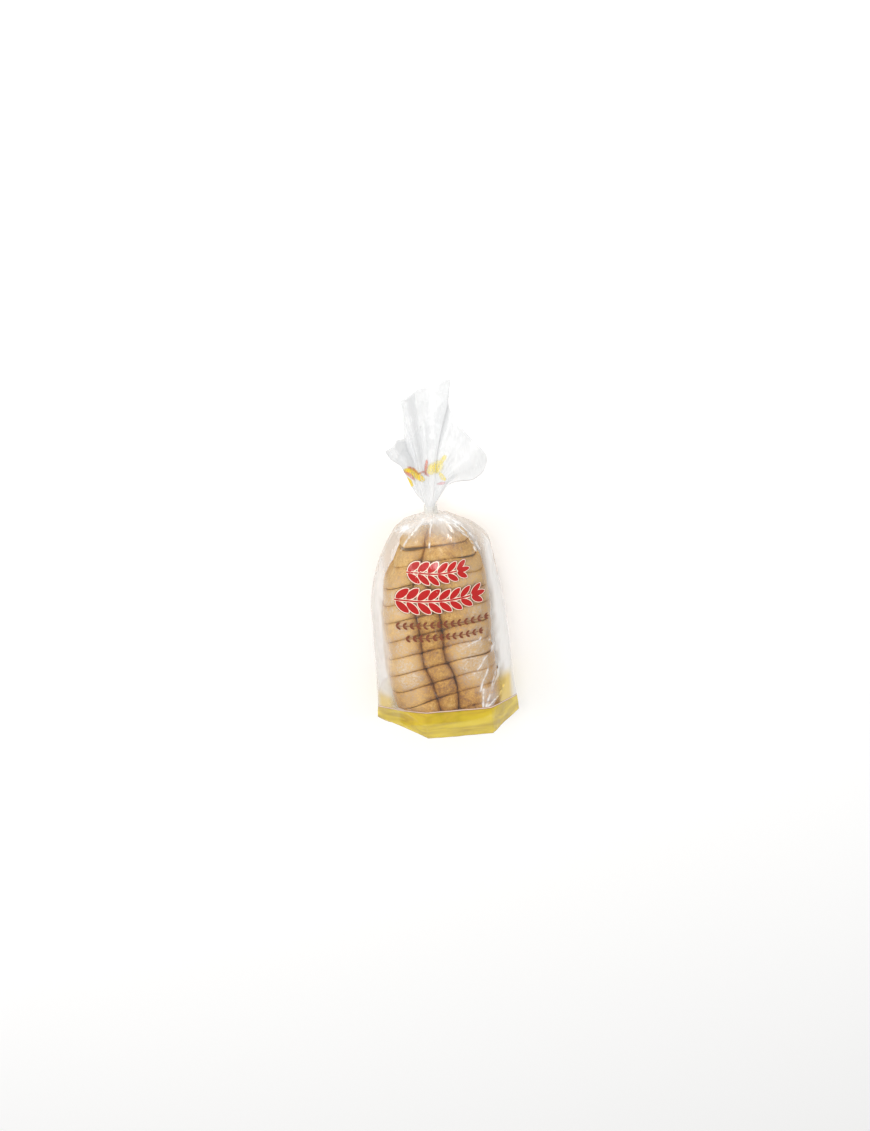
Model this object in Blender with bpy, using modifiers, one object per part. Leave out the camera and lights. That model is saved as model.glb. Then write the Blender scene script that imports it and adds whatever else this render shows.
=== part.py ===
"""Sliced country loaf in a clear film bag, lying on its base with the scored crust up.

The bag is shut by tape round its gathered neck, so it is one closed solid that the loaf
presses through: crust lobes, score lines and the seams between slices show as relief.
Metres, +X to the right, +Y from the foot of the bag to its mouth, +Z up.
"""

import math

import bmesh
import bpy
from mathutils import Vector

# The seams between the slices as (along the bag, degrees that the cut is turned)
SEAMS = ((0.0722, 3.0), (0.0563, 4.5), (0.0380, 7.5), (0.0209, 8.2), (0.0037, 8.5),
         (-0.0157, 9.5), (-0.0341, 9.0), (-0.0511, 9.8), (-0.0680, 11.5), (-0.0852, 12.0))

# Relief that the loaf presses into the film
SEAM_HALF_WIDTH = 0.0022
SEAM_DIP = 0.0013
LOBE_RADIUS = 0.023
LOBE_DROP = 0.008
STRIP_SINK = 0.0015
FILM_FOLLOWS = 0.45
FILM_DROP_LIMIT = 0.0055

# Score lines on the crust as (along, across): one bows left, one forks off it to the right
LEFT_SCORE = ((-0.100, -0.0067), (-0.069, -0.0098), (-0.036, -0.0183), (0.001, -0.0234),
              (0.032, -0.0235), (0.061, -0.0131), (0.083, 0.000))
RIGHT_SCORE = ((-0.100, 0.0107), (-0.062, 0.0089), (-0.030, 0.0009), (-0.002, -0.0017),
               (0.030, -0.0108), (0.052, -0.0185))
FORK_Y = 0.048

# The bag's body as (along, left side, right side, top, underside)
BODY_STATIONS = (
    (-0.130, -0.0694, 0.0702, 0.0760, 0.0000),
    (-0.118, -0.0692, 0.0700, 0.0770, 0.0000),
    (-0.092, -0.0674, 0.0680, 0.0815, 0.0000),
    (-0.036, -0.0661, 0.0650, 0.0828, 0.0000),
    (0.000, -0.0657, 0.0625, 0.0830, 0.0000),
    (0.020, -0.0625, 0.0600, 0.0830, 0.0000),
    (0.044, -0.0550, 0.0570, 0.0820, 0.0000),
    (0.060, -0.0470, 0.0540, 0.0785, 0.0000),
    (0.070, -0.0405, 0.0450, 0.0745, 0.0010),
    (0.080, -0.0345, 0.0315, 0.0690, 0.0080),
    (0.088, -0.0210, 0.0215, 0.0630, 0.0220),
    (0.093, -0.0095, 0.0150, 0.0580, 0.0390),
    (0.0954, -0.0054, 0.0054, 0.0554, 0.0446),
    (0.110, -0.0054, 0.0054, 0.0554, 0.0446),
)
SIDE_FOLD_Z = 0.040
UNDERSIDE_SQUARENESS = 2.8
UNDERSIDE_SPREAD = 0.003

# The folded foot of the bag: a flat front fold, with the side folds drawn out to two ears
FOOT_FOLD_Y = -0.129
LEFT_EAR_Y = -0.118
RIGHT_EAR_Y = -0.122
FOOT_MORPH_FROM = -0.080
FOOT_MORPH_TO = -0.121
FRONT_FOLD = (-0.021, 0.043)
UNDER_FOLD = (-0.034, 0.038)
FRONT_FOLD_Z = 0.076
CAP_SHARES = (0.10, 0.42, 0.75)

# The gathered neck and its tape
NECK_Z = 0.050
NECK_RADIUS = 0.0054
NECK_FROM_Y = 0.0954
NECK_END_Y = 0.1075
PLEATS = 15
PLEAT_DEPTH = 0.0016
TAPE_FROM_Y = 0.0962
TAPE_LENGTH = 0.0084
TAPE_INNER_RADIUS = 0.0059
TAPE_OUTER_RADIUS = 0.0068
TAPE_STEPS = 40

# The ruffle above the tape: its mouth as (share, across, beyond the tape, rise)
THROAT_FROM_Y = 0.0990
THROAT_TO_Y = 0.1052
THROAT_RADIUS = 0.0048
MOUTH = (
    (0.00, -0.0382, 0.0640, 0.0120),
    (0.07, -0.0290, 0.0700, 0.0080),
    (0.15, -0.0190, 0.0730, -0.0010),
    (0.22, -0.0196, 0.0930, -0.0060),
    (0.30, -0.0200, 0.1085, -0.0110),
    (0.36, -0.0140, 0.1130, -0.0140),
    (0.60, 0.0282, 0.1210, -0.0250),
    (0.68, 0.0262, 0.1000, -0.0180),
    (0.76, 0.0310, 0.0830, -0.0130),
    (0.84, 0.0405, 0.0690, -0.0090),
    (0.93, 0.0549, 0.0540, -0.0060),
    (1.00, 0.0578, 0.0390, -0.0040),
)
RUFFLE_HALF_THICKNESS = 0.0017
RUFFLE_WAVE = 0.0065
RUFFLE_WAVES = 3.6
RUFFLE_CREASE = 0.0016
RUFFLE_CREASES = 7.0

# Mesh resolution, and the steps of a ring at which the two score lines lie
UPPER_STEPS = 48
UNDER_STEPS = 24
LEFT_SCORE_STEP = 20
RIGHT_SCORE_STEP = 27
STRIP_LEAST_WIDTH = 0.009
RUFFLE_STEPS = 30
RUFFLE_RINGS = 15


def clamp01(value):
    return min(1.0, max(0.0, value))


def smooth(value):
    """Eases from 0 to 1 as value goes from 0 to 1."""
    value = clamp01(value)
    return value * value * (3 - 2 * value)


def mix(a, b, share):
    return a + (b - a) * share


def slope_at(points, index, column):
    """Slope of a curve at one of its points, flat at a turning point, so it never overshoots."""
    if index in (0, len(points) - 1):
        near = min(index, len(points) - 2)
        rise = points[near + 1][column] - points[near][column]
        return rise / (points[near + 1][0] - points[near][0])
    before = (points[index][column] - points[index - 1][column]) / (
        points[index][0] - points[index - 1][0])
    after = (points[index + 1][column] - points[index][column]) / (
        points[index + 1][0] - points[index][0])
    return 0.0 if before * after <= 0 else 2 * before * after / (before + after)


def through(points, at, column=1):
    """Value of a smooth curve through the points, whose first column is the position."""
    if at <= points[0][0]:
        return points[0][column]
    if at >= points[-1][0]:
        return points[-1][column]
    i = next(k for k in range(len(points) - 1) if points[k + 1][0] >= at)
    span = points[i + 1][0] - points[i][0]
    u = (at - points[i][0]) / span
    start, end = points[i][column], points[i + 1][column]
    start_slope = slope_at(points, i, column) * span
    end_slope = slope_at(points, i + 1, column) * span
    return ((2 * u ** 3 - 3 * u ** 2 + 1) * start + (u ** 3 - 2 * u ** 2 + u) * start_slope
            + (3 * u ** 2 - 2 * u ** 3) * end + (u ** 3 - u ** 2) * end_slope)


def rounded_fall(share):
    """1 at a score line with a steep wall, falling to 0 at a lobe's crest."""
    near = 1 - clamp01(share)
    return 1 - math.sqrt(max(0.0, 1 - near * near))


def crust_drop(x, y):
    """How far the crust lies below its dome: lobes round off towards the score lines."""
    left = through(LEFT_SCORE, y)
    if y > FORK_Y:
        return LOBE_DROP * rounded_fall(abs(x - left) / LOBE_RADIUS)
    right = through(RIGHT_SCORE, y)
    if x < left:
        return LOBE_DROP * rounded_fall((left - x) / LOBE_RADIUS)
    if x > right:
        return LOBE_DROP * rounded_fall((x - right) / LOBE_RADIUS)
    half = max(0.001, (right - left) / 2)
    share = min(x - left, right - x) / half
    return STRIP_SINK + (LOBE_DROP - STRIP_SINK) * rounded_fall(share)


def across_fold(x, left, right, fold, at_left, at_fold, at_right):
    """Value along the folded foot: level between the fold's corners, straight to the ears."""
    if x < fold[0]:
        return mix(at_left, at_fold, clamp01((x - left) / (fold[0] - left)))
    if x > fold[1]:
        return mix(at_right, at_fold, clamp01((right - x) / (right - fold[1])))
    return at_fold


def folded_height(x, left, right, fold, flat_z):
    return across_fold(x, left, right, fold, SIDE_FOLD_Z, flat_z, SIDE_FOLD_Z)


def piecewise(knots, at):
    """Value at a place on straight lines between the knots."""
    for (start, low), (end, high) in zip(knots, knots[1:]):
        if at <= end:
            return mix(low, high, (at - start) / (end - start))
    return knots[-1][1]


def drawn_to_scores(share, y, left, right):
    """Moves a ring's points sideways, so that one lies on each score line."""
    drawn = smooth((0.088 - y) / 0.03) * smooth((y + 0.124) / 0.03)
    if drawn == 0:
        return share
    first = through(LEFT_SCORE, y)
    second = max(through(RIGHT_SCORE, y), first + STRIP_LEAST_WIDTH)
    places = [math.acos(1 - 2 * (x - left) / (right - left)) / math.pi for x in (first, second)]
    knots = ((0.0, 0.0), (LEFT_SCORE_STEP / UPPER_STEPS, places[0]),
             (RIGHT_SCORE_STEP / UPPER_STEPS, places[1]), (1.0, 1.0))
    return mix(share, piecewise(knots, share), drawn)


def film_point(share, y, upper):
    """(x, z) of the film at length y, from the left fold at share 0 to the right one at 1."""
    left, right, top, under = (through(BODY_STATIONS, y, column) for column in (1, 2, 3, 4))
    neck = smooth((y - 0.060) / (NECK_FROM_Y - 0.060))
    side_z = mix(SIDE_FOLD_Z, NECK_Z, neck)
    folded = smooth((FOOT_MORPH_FROM - y) / (FOOT_MORPH_FROM - FOOT_MORPH_TO))
    if upper:
        turn = math.pi * drawn_to_scores(share, y, left, right)
        across = -math.cos(turn)
        x = mix(left, right, (across + 1) / 2)
        z = side_z + (top - side_z) * math.sin(turn)
        z = mix(z, folded_height(x, left, right, FRONT_FOLD, FRONT_FOLD_Z), folded)
        resting = (1 - folded) * smooth((0.080 - y) / 0.020) * smooth((0.88 - abs(across)) / 0.3)
        z -= resting * min(FILM_FOLLOWS * crust_drop(x, y), FILM_DROP_LIMIT)
        return x, z
    turn = math.pi * share
    power = mix(2 / UNDERSIDE_SQUARENESS, 1.0, neck)
    across = -math.copysign(abs(math.cos(turn)) ** power, math.cos(turn))
    x = mix(left, right, (across + 1) / 2)
    spread = UNDERSIDE_SPREAD * (1 - neck)
    z = side_z - (side_z - under + spread) * math.sin(turn) ** power
    z = mix(z, folded_height(x, left, right, UNDER_FOLD, -spread), folded)
    return x, max(z, under)


def pleated(x, z, y, order):
    """Radial pleats that gather the shoulders of the bag into its neck."""
    gather = smooth((y - 0.062) / 0.022) * (1 - smooth((y - 0.0915) / 0.0035))
    push = PLEAT_DEPTH * gather * math.sin(2 * math.pi * PLEATS * order)
    away = Vector((x, z - NECK_Z))
    if away.length < 1e-6:
        return x, z
    away.normalize()
    return x + away.x * push, max(0.0, z + away.y * push)


def ring_shares():
    """(share across, upper side) of each point of a ring, clockwise as seen from the foot."""
    upper = [(i / UPPER_STEPS, True) for i in range(UPPER_STEPS + 1)]
    under = [(1 - i / UNDER_STEPS, False) for i in range(1, UNDER_STEPS)]
    return upper + under


def slanted_ring(y_middle, skew, dip=0.0):
    """A ring along a slice's plane, which is turned by skew about the vertical."""
    shares = ring_shares()
    ring = []
    for index, (share, upper) in enumerate(shares):
        y = y_middle
        for _ in range(3):
            x, z = film_point(share, y, upper)
            y = y_middle + math.tan(skew) * x
        if upper and dip:
            z -= dip * smooth(math.sin(math.pi * share) * 2 - 0.9)
        x, z = pleated(x, z, y, index / len(shares))
        ring.append(Vector((x, y, z)))
    return ring


def foot_fold_ring():
    """The ring of the front fold, the two ears and the underside's fold."""
    ring = []
    for share, upper in ring_shares():
        x, z = film_point(share, FOOT_FOLD_Y, upper)
        left, right = BODY_STATIONS[0][1:3]
        fold = FRONT_FOLD if upper else UNDER_FOLD
        y = across_fold(x, left, right, fold, LEFT_EAR_Y, FOOT_FOLD_Y, RIGHT_EAR_Y)
        ring.append(Vector((x, y, z)))
    return ring


def cap_ring(fold_ring, share):
    """The fold ring drawn in towards the bag's seal, level with its ears."""
    ring = []
    for point in fold_ring:
        seal_y = mix(FOOT_FOLD_Y + 0.0006, point.y, abs(point.x / BODY_STATIONS[0][2]) ** 4)
        ring.append(Vector((point.x, mix(seal_y, point.y, share),
                            mix(SIDE_FOLD_Z, point.z, share))))
    return ring


def body_rings():
    fold_ring = foot_fold_ring()
    rings = [cap_ring(fold_ring, share) for share in CAP_SHARES] + [fold_ring]
    last_y, last_turn = SEAMS[-1]
    first_crossing = slanted_ring(last_y - SEAM_HALF_WIDTH, math.radians(last_turn))
    for share in (0.3, 0.6, 0.85):
        rings.append([])
        for (across, upper), start, end in zip(ring_shares(), fold_ring, first_crossing):
            y = mix(start.y, end.y, share)
            x, z = film_point(across, y, upper)
            rings[-1].append(Vector((x, y, z)))
    for y, turn in reversed(SEAMS):
        skew = math.radians(turn)
        rings.append(slanted_ring(y - SEAM_HALF_WIDTH, skew))
        rings.append(slanted_ring(y, skew, SEAM_DIP))
        rings.append(slanted_ring(y + SEAM_HALF_WIDTH, skew))
    for y, skew_share in ((0.0765, 0.6), (0.081, 0.3), (0.085, 0), (0.0885, 0), (0.0915, 0),
                          (0.0938, 0), (NECK_FROM_Y, 0), (0.101, 0), (NECK_END_Y, 0)):
        rings.append(slanted_ring(y, math.radians(SEAMS[0][1]) * skew_share))
    return rings


def ruffle_point(share, reach, side):
    """A point of the ruffle: share runs across it, reach from the tape to its mouth."""
    across, beyond, rise = (through(MOUTH, share, column) for column in (1, 2, 3))
    base = -THROAT_RADIUS * math.cos(math.pi * share)
    length = math.hypot(across - base, beyond)
    left_bend = 1.45 - 0.45 * smooth(reach / 0.9)
    right_bend = 0.5 + 0.53 * smooth((reach - 0.12) / 0.5)
    angle = math.atan2(across - base, beyond) * mix(left_bend, right_bend, share)
    wave = RUFFLE_WAVE * reach * math.sin(2 * math.pi * RUFFLE_WAVES * share + 0.5)
    crease = RUFFLE_CREASE * math.sin(2 * math.pi * RUFFLE_CREASES * share) * smooth(reach / 0.4)
    rim = math.sqrt(max(0.0, 1 - (2 * share - 1) ** 8))
    half = mix(THROAT_RADIUS * math.sin(math.pi * share), RUFFLE_HALF_THICKNESS * rim,
               smooth(reach / 0.22))
    return Vector((
        base + length * reach * math.sin(angle),
        THROAT_TO_Y + length * reach * math.cos(angle),
        NECK_Z + rise * reach ** 1.6 + (wave + crease) * math.sin(math.pi * share) ** 0.5
        + side * half,
    ))


def ruffle_rings():
    shares = [i / RUFFLE_STEPS for i in range(RUFFLE_STEPS + 1)]
    rings = []
    for k in range(RUFFLE_RINGS):
        reach = (k / (RUFFLE_RINGS - 1)) ** 1.35
        upper = [ruffle_point(share, reach, 1) for share in shares]
        under = [ruffle_point(share, reach, -1) for share in reversed(shares[1:-1])]
        rings.append(upper + under)
    throat = [Vector((point.x, THROAT_FROM_Y, point.z)) for point in rings[0]]
    return [throat] + rings


def close_end(mesh, ring, upper_steps, under_steps):
    """Closes a flattened ring by faces from its upper side to its under side."""
    ratio = upper_steps // under_steps
    count = len(ring)
    for j in range(under_steps):
        upper = ring[j * ratio:(j + 1) * ratio + 1]
        under = [ring[(count - j - 1) % count], ring[(count - j) % count]]
        corners = list(dict.fromkeys(upper + under))
        mesh.faces.new(corners)


def loft(name, rings, upper_steps, under_steps):
    """A closed solid through the rings, each of which goes round the piece once."""
    mesh = bmesh.new()
    rows = [[mesh.verts.new(point) for point in ring] for ring in rings]
    for row, following in zip(rows, rows[1:]):
        for i in range(len(row)):
            j = (i + 1) % len(row)
            mesh.faces.new((row[i], row[j], following[j], following[i]))
    close_end(mesh, rows[0], upper_steps, under_steps)
    close_end(mesh, rows[-1], upper_steps, under_steps)
    bmesh.ops.recalc_face_normals(mesh, faces=mesh.faces)
    data = bpy.data.meshes.new(name)
    mesh.to_mesh(data)
    mesh.free()
    return bpy.data.objects.new(name, data)


def material(name, colour, roughness):
    made = bpy.data.materials.new(name)
    made.use_nodes = True
    shader = made.node_tree.nodes["Principled BSDF"]
    shader.inputs["Base Color"].default_value = (*colour, 1.0)
    shader.inputs["Roughness"].default_value = roughness
    shader.inputs["Metallic"].default_value = 0.0
    return made


def make_bag(parts, helpers):
    """The bag's body with its ruffle joined on inside the tape, as one solid."""
    bag = loft("bag", body_rings(), UPPER_STEPS, UNDER_STEPS)
    parts.objects.link(bag)
    ruffle = loft("ruffle_joined", ruffle_rings(), RUFFLE_STEPS, RUFFLE_STEPS)
    ruffle.data.shade_smooth()
    ruffle.hide_render = True
    ruffle.display_type = "WIRE"
    helpers.objects.link(ruffle)
    join = bag.modifiers.new("join_ruffle", "BOOLEAN")
    join.operation = "UNION"
    join.object = ruffle
    bag.data.materials.append(material("film_over_crust", (0.80, 0.62, 0.38), 0.35))
    bag.data.shade_smooth()
    bag.data.set_sharp_from_angle(angle=math.radians(35))
    return bag, ruffle


def make_tape(parts):
    """The clear tape wound round the neck: a flat band turned about the neck's axis."""
    data = bpy.data.meshes.new("neck_tape")
    profile = ((TAPE_OUTER_RADIUS, TAPE_LENGTH / 2), (TAPE_OUTER_RADIUS, -TAPE_LENGTH / 2),
               (TAPE_INNER_RADIUS, -TAPE_LENGTH / 2), (TAPE_INNER_RADIUS, TAPE_LENGTH / 2))
    data.from_pydata([(radius, 0.0, along) for radius, along in profile],
                     [(0, 1), (1, 2), (2, 3), (3, 0)], [])
    tape = bpy.data.objects.new("neck_tape", data)
    parts.objects.link(tape)
    turned = tape.modifiers.new("turned", "SCREW")
    turned.steps = turned.render_steps = TAPE_STEPS
    turned.use_merge_vertices = True
    turned.merge_threshold = 0.00005
    turned.use_smooth_shade = True
    tape.rotation_euler = (-math.pi / 2, 0.0, 0.0)
    tape.location = (0.0, TAPE_FROM_Y + TAPE_LENGTH / 2, NECK_Z)
    tape.data.materials.append(material("tape_film", (0.88, 0.88, 0.85), 0.3))
    return tape


def rest_on_origin(pieces, whole):
    """Moves the pieces so that the origin is below the middle of the whole."""
    corners = [vertex.co for piece in whole for vertex in piece.data.vertices]
    low = [min(corner[axis] for corner in corners) for axis in range(3)]
    high = [max(corner[axis] for corner in corners) for axis in range(3)]
    shift = Vector(((low[0] + high[0]) / 2, (low[1] + high[1]) / 2, low[2]))
    for piece in pieces:
        piece.location -= shift


def main():
    for old in list(bpy.data.objects):
        bpy.data.objects.remove(old, do_unlink=True)
    parts = bpy.data.collections.new("loaf_in_bag")
    helpers = bpy.data.collections.new("helpers")
    bpy.context.scene.collection.children.link(parts)
    bpy.context.scene.collection.children.link(helpers)
    bag, ruffle = make_bag(parts, helpers)
    tape = make_tape(parts)
    rest_on_origin((bag, ruffle, tape), (bag, ruffle))


main()
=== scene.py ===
"""Looks for a sliced country loaf in a clear film bag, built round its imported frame.

Shapes are laid out in metres in the loaf's own measure, which runs along the bag from near
its middle, and each finished piece is then moved on to the frame.
"""

import math

import bmesh
import bpy
import numpy as np
from mathutils import Matrix, Vector
from mathutils.bvhtree import BVHTree


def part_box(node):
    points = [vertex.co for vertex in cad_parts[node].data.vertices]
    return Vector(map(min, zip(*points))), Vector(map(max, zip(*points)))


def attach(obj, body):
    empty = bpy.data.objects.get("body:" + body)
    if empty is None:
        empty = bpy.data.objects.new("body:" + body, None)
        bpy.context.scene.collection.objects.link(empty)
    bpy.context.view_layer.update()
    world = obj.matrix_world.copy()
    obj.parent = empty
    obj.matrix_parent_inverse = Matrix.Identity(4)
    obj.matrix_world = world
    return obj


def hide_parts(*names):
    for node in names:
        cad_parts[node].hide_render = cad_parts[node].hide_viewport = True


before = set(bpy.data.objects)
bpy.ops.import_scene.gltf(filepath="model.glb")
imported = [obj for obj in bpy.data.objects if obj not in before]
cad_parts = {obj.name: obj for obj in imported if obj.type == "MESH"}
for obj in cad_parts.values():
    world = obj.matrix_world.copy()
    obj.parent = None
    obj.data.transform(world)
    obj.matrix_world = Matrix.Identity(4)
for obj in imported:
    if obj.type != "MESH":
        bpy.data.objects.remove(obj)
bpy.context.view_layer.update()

# Where the tape lies in the loaf's measure, which ties that measure to the frame
TAPE_MIDDLE = Vector((0.0, 0.1004, 0.0500))

# The tape is wound a little more than once, and grows by its lap in each turn
TAPE_TURNS = 1.12
TAPE_RADIUS = 0.0061
TAPE_LAP = 0.00035
TAPE_THICKNESS = 0.00022
TAPE_HALF_WIDTH = 0.0042

# Cuts between the slices as (along, degrees turned, gap at the left, gap at the right, across
# where the gap changes, sag of the left lobe towards the foot)
CUTS = (
    (0.0722, 3.0, 0.0030, 0.0003, -0.013, 0.0000),
    (0.0563, 4.5, 0.0003, 0.0020, 0.024, 0.0000),
    (0.0380, 7.5, 0.0006, 0.0002, -0.020, 0.0006),
    (0.0209, 8.2, 0.0002, 0.0003, 0.000, 0.0000),
    (0.0037, 8.5, 0.0004, 0.0002, 0.000, 0.0004),
    (-0.0157, 9.5, 0.0003, 0.0004, 0.000, 0.0000),
    (-0.0341, 9.0, 0.0004, 0.0003, 0.000, 0.0004),
    (-0.0511, 9.8, 0.0003, 0.0006, 0.020, 0.0007),
    (-0.0680, 11.5, 0.0005, 0.0003, 0.000, 0.0013),
    (-0.0852, 12.0, 0.0006, 0.0002, 0.000, 0.0024),
    (-0.1031, 11.5, 0.0003, 0.0003, 0.000, 0.0030),
)
# How far the change from one gap to the other runs, and where each cut's left lobe sags
GAP_RUN = 0.022
SAG_MIDDLE_X = -0.034
SAG_REACH = 0.026
LOAF_HEAD_Y = 0.0905
LOAF_FOOT_Y = -0.1160

# The crust's sides in plan as (along, left, right)
CRUST_SIDES = (
    (-0.1160, -0.0470, 0.0500),
    (-0.1070, -0.0480, 0.0525),
    (-0.0980, -0.0495, 0.0540),
    (-0.0840, -0.0525, 0.0530),
    (-0.0640, -0.0565, 0.0510),
    (-0.0280, -0.0575, 0.0492),
    (0.0120, -0.0555, 0.0497),
    (0.0330, -0.0527, 0.0478),
    (0.0470, -0.0460, 0.0450),
    (0.0560, -0.0400, 0.0420),
    (0.0650, -0.0355, 0.0385),
    (0.0722, -0.0325, 0.0345),
    (0.0905, -0.0250, 0.0260),
)

# How far bread keeps from the film above, from any film, from its side folds and its foot
CRUST_CLEARANCE = 0.0016
FILM_CLEARANCE = 0.0010
FOLD_CLEARANCE = 0.004
FOOT_CLEARANCE = 0.003

# The crust's section: heights, and how square its dome and its base are
CRUST_WIDEST_Z = 0.032
CRUST_BASE_Z = 0.0012
CRUST_LOWEST_Z = 0.0008
DOME_SQUARENESS = 2.65
BASE_SQUARENESS = 3.6
LOAF_MIDDLE = (-0.004, 0.036)
LOAF_HALF_SIZES = (0.055, 0.042)
HEEL_MIDDLE_X = -0.001

# Points over and under a section, rows along a piece, and rings on a cut face, whose crust rim
# is a share of the way to its middle
CRUST_RIM = 0.035
UPPER_POINTS = 131
LOWER_POINTS = 50
SLICE_ROWS = 15
HEEL_ROWS = 25
FACE_RINGS = 9
RIM_BAKED = 0.60

# Heights of the crust's dents and grain
CRUST_DENT = 0.0008
CRUST_SMALL_DENT = 0.00035
CRUST_GRAIN = 0.00012

# How far a slice's edges round off as (on a lobe, on the strip), at the edge and further in,
# and the least and most that a slice stands higher or further right than its neighbours
EDGE_ROUNDING = (0.0007, 0.0017)
WIDE_ROUNDING = (0.0004, 0.0009)
HEEL_EDGE = 0.12
HEEL_ROUNDING = 0.0018
SLICE_LIFT = (-0.0014, 0.0003)
SLICE_SHIFT = (-0.0007, 0.0007)

# The slices lean back from the head, and their upper edges droop further
SLICE_LEAN = 0.06
EDGE_DROOP = 0.50
DROOP_HEIGHT = 0.022
LEAN_FROM_Z = 0.074

# Score lines on the crust as (along, across): one bows left, one forks off it to the right
LEFT_SCORE = ((-0.100, -0.0067), (-0.069, -0.0128), (-0.054, -0.0180), (-0.036, -0.0198),
              (-0.017, -0.0206), (0.001, -0.0228), (0.017, -0.0255), (0.032, -0.0235),
              (0.048, -0.0172), (0.069, -0.0095), (0.088, -0.0040))
RIGHT_SCORE = ((-0.100, 0.0110), (-0.081, 0.0115), (-0.064, 0.0089), (-0.048, 0.0033),
               (-0.035, 0.0014), (-0.017, 0.0009), (-0.002, 0.0002), (0.017, -0.0022),
               (0.034, -0.0110), (0.052, -0.0155))
FORK_Y = 0.050

# How the lobes beside the score lines and the strip between them round off
LOBE_RADIUS = 0.023
LOBE_DROP = 0.0098
STRIP_SINK = 0.0025
STRIP_LEAST_WIDTH = 0.006
STRIP_MIDDLE_X = -0.006

# The film's body as (along, left side, right side, top, underside)
BODY_STATIONS = (
    (-0.130, -0.0694, 0.0702, 0.0760, 0.0003),
    (-0.118, -0.0692, 0.0700, 0.0770, 0.0003),
    (-0.092, -0.0674, 0.0680, 0.0815, 0.0003),
    (-0.036, -0.0661, 0.0650, 0.0828, 0.0003),
    (0.000, -0.0657, 0.0625, 0.0830, 0.0003),
    (0.020, -0.0625, 0.0600, 0.0830, 0.0003),
    (0.044, -0.0550, 0.0570, 0.0820, 0.0003),
    (0.060, -0.0470, 0.0540, 0.0785, 0.0003),
    (0.070, -0.0405, 0.0450, 0.0745, 0.0010),
    (0.080, -0.0345, 0.0315, 0.0690, 0.0080),
    (0.088, -0.0210, 0.0215, 0.0630, 0.0220),
    (0.093, -0.0095, 0.0150, 0.0580, 0.0390),
    (0.0954, -0.0052, 0.0052, 0.0552, 0.0448),
    (0.110, -0.0052, 0.0052, 0.0552, 0.0448),
)
SIDE_FOLD_Z = 0.040
UNDER_SQUARENESS = 2.8
FILM_LOWEST_Z = 0.0003

# How much of a score line's depth the film follows, at most so far
FILM_FOLLOWS = 0.45
FILM_DROP_LIMIT = 0.0055
FILM_SPANS = (-0.007, -0.0035, 0.0, 0.0035, 0.007)

# The folded foot: its fold and two ears along the bag, and its corners across the bag
FOOT_FOLD_Y = -0.129
LEFT_EAR_Y = -0.118
RIGHT_EAR_Y = -0.122
FOOT_MORPH_FROM = -0.080
FOOT_MORPH_TO = -0.121
FRONT_FOLD = (-0.021, 0.043)
UNDER_FOLD = (-0.034, 0.038)
FRONT_FOLD_Z = 0.076
SEAM_SINK = 0.0006
FOOT_DENT = 0.0007

# Heights of the film's dents and of its pleats round the neck
FILM_DENT = 0.0009
FILM_SMALL_DENT = 0.0004
BACK_DENTED = 0.3
PLEAT = 0.0013
FINE_PLEAT = 0.0006
TAPE_PLEAT = 0.00035

# The neck, and where the film begins to gather and ends under the tape
NECK_Z = 0.050
SHOULDER_Y = 0.060
NECK_FROM_Y = 0.0954
FILM_END_Y = 0.1015

# The share of the film's rows that lie on the share of its length before the neck
PLAIN_ROWS = 0.68
NECK_SHARE = 0.78

# Where the printed foot band begins on the front and the back of the film
BAND_FRONT_Y = -0.0995
BAND_BACK_Y = -0.0880
BAND_SIDE_Y = -0.1050

# The ruffle's throat at the tape, and the heights of its waves, folds and fine gathers
THROAT_FROM_Y = 0.0990
THROAT_Y = 0.1052
THROAT_RADIUS = 0.0046
RUFFLE_WAVE = 0.0048
RUFFLE_FOLD = 0.0010
RUFFLE_GATHER = 0.0004
RUFFLE_DENT = 0.0011
RUFFLE_SMALL_DENT = 0.0005
LAYERS_APART = 0.02

# The ruffle's mouth as (share of the way round, across, beyond the throat, rise)
MOUTH = (
    (0.00, -0.0380, 0.0606, 0.0120),
    (0.06, -0.0290, 0.0655, 0.0090),
    (0.08, -0.0268, 0.0688, 0.0070),
    (0.15, -0.0192, 0.0660, -0.0010),
    (0.22, -0.0188, 0.0850, -0.0060),
    (0.30, -0.0195, 0.1012, -0.0110),
    (0.36, -0.0120, 0.1045, -0.0140),
    (0.48, 0.0060, 0.1100, -0.0190),
    (0.60, 0.0285, 0.1152, -0.0250),
    (0.65, 0.0255, 0.1050, -0.0220),
    (0.70, 0.0250, 0.0920, -0.0190),
    (0.76, 0.0292, 0.0770, -0.0150),
    (0.83, 0.0385, 0.0650, -0.0110),
    (0.90, 0.0520, 0.0500, -0.0070),
    (0.95, 0.0572, 0.0390, -0.0050),
    (1.00, 0.0530, 0.0272, -0.0030),
)

# The line of the ruffle's middle fold, as (across, along)
FOLD_FROM = (-0.0139, 0.1702)
FOLD_TO = (0.0232, 0.2036)

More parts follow.
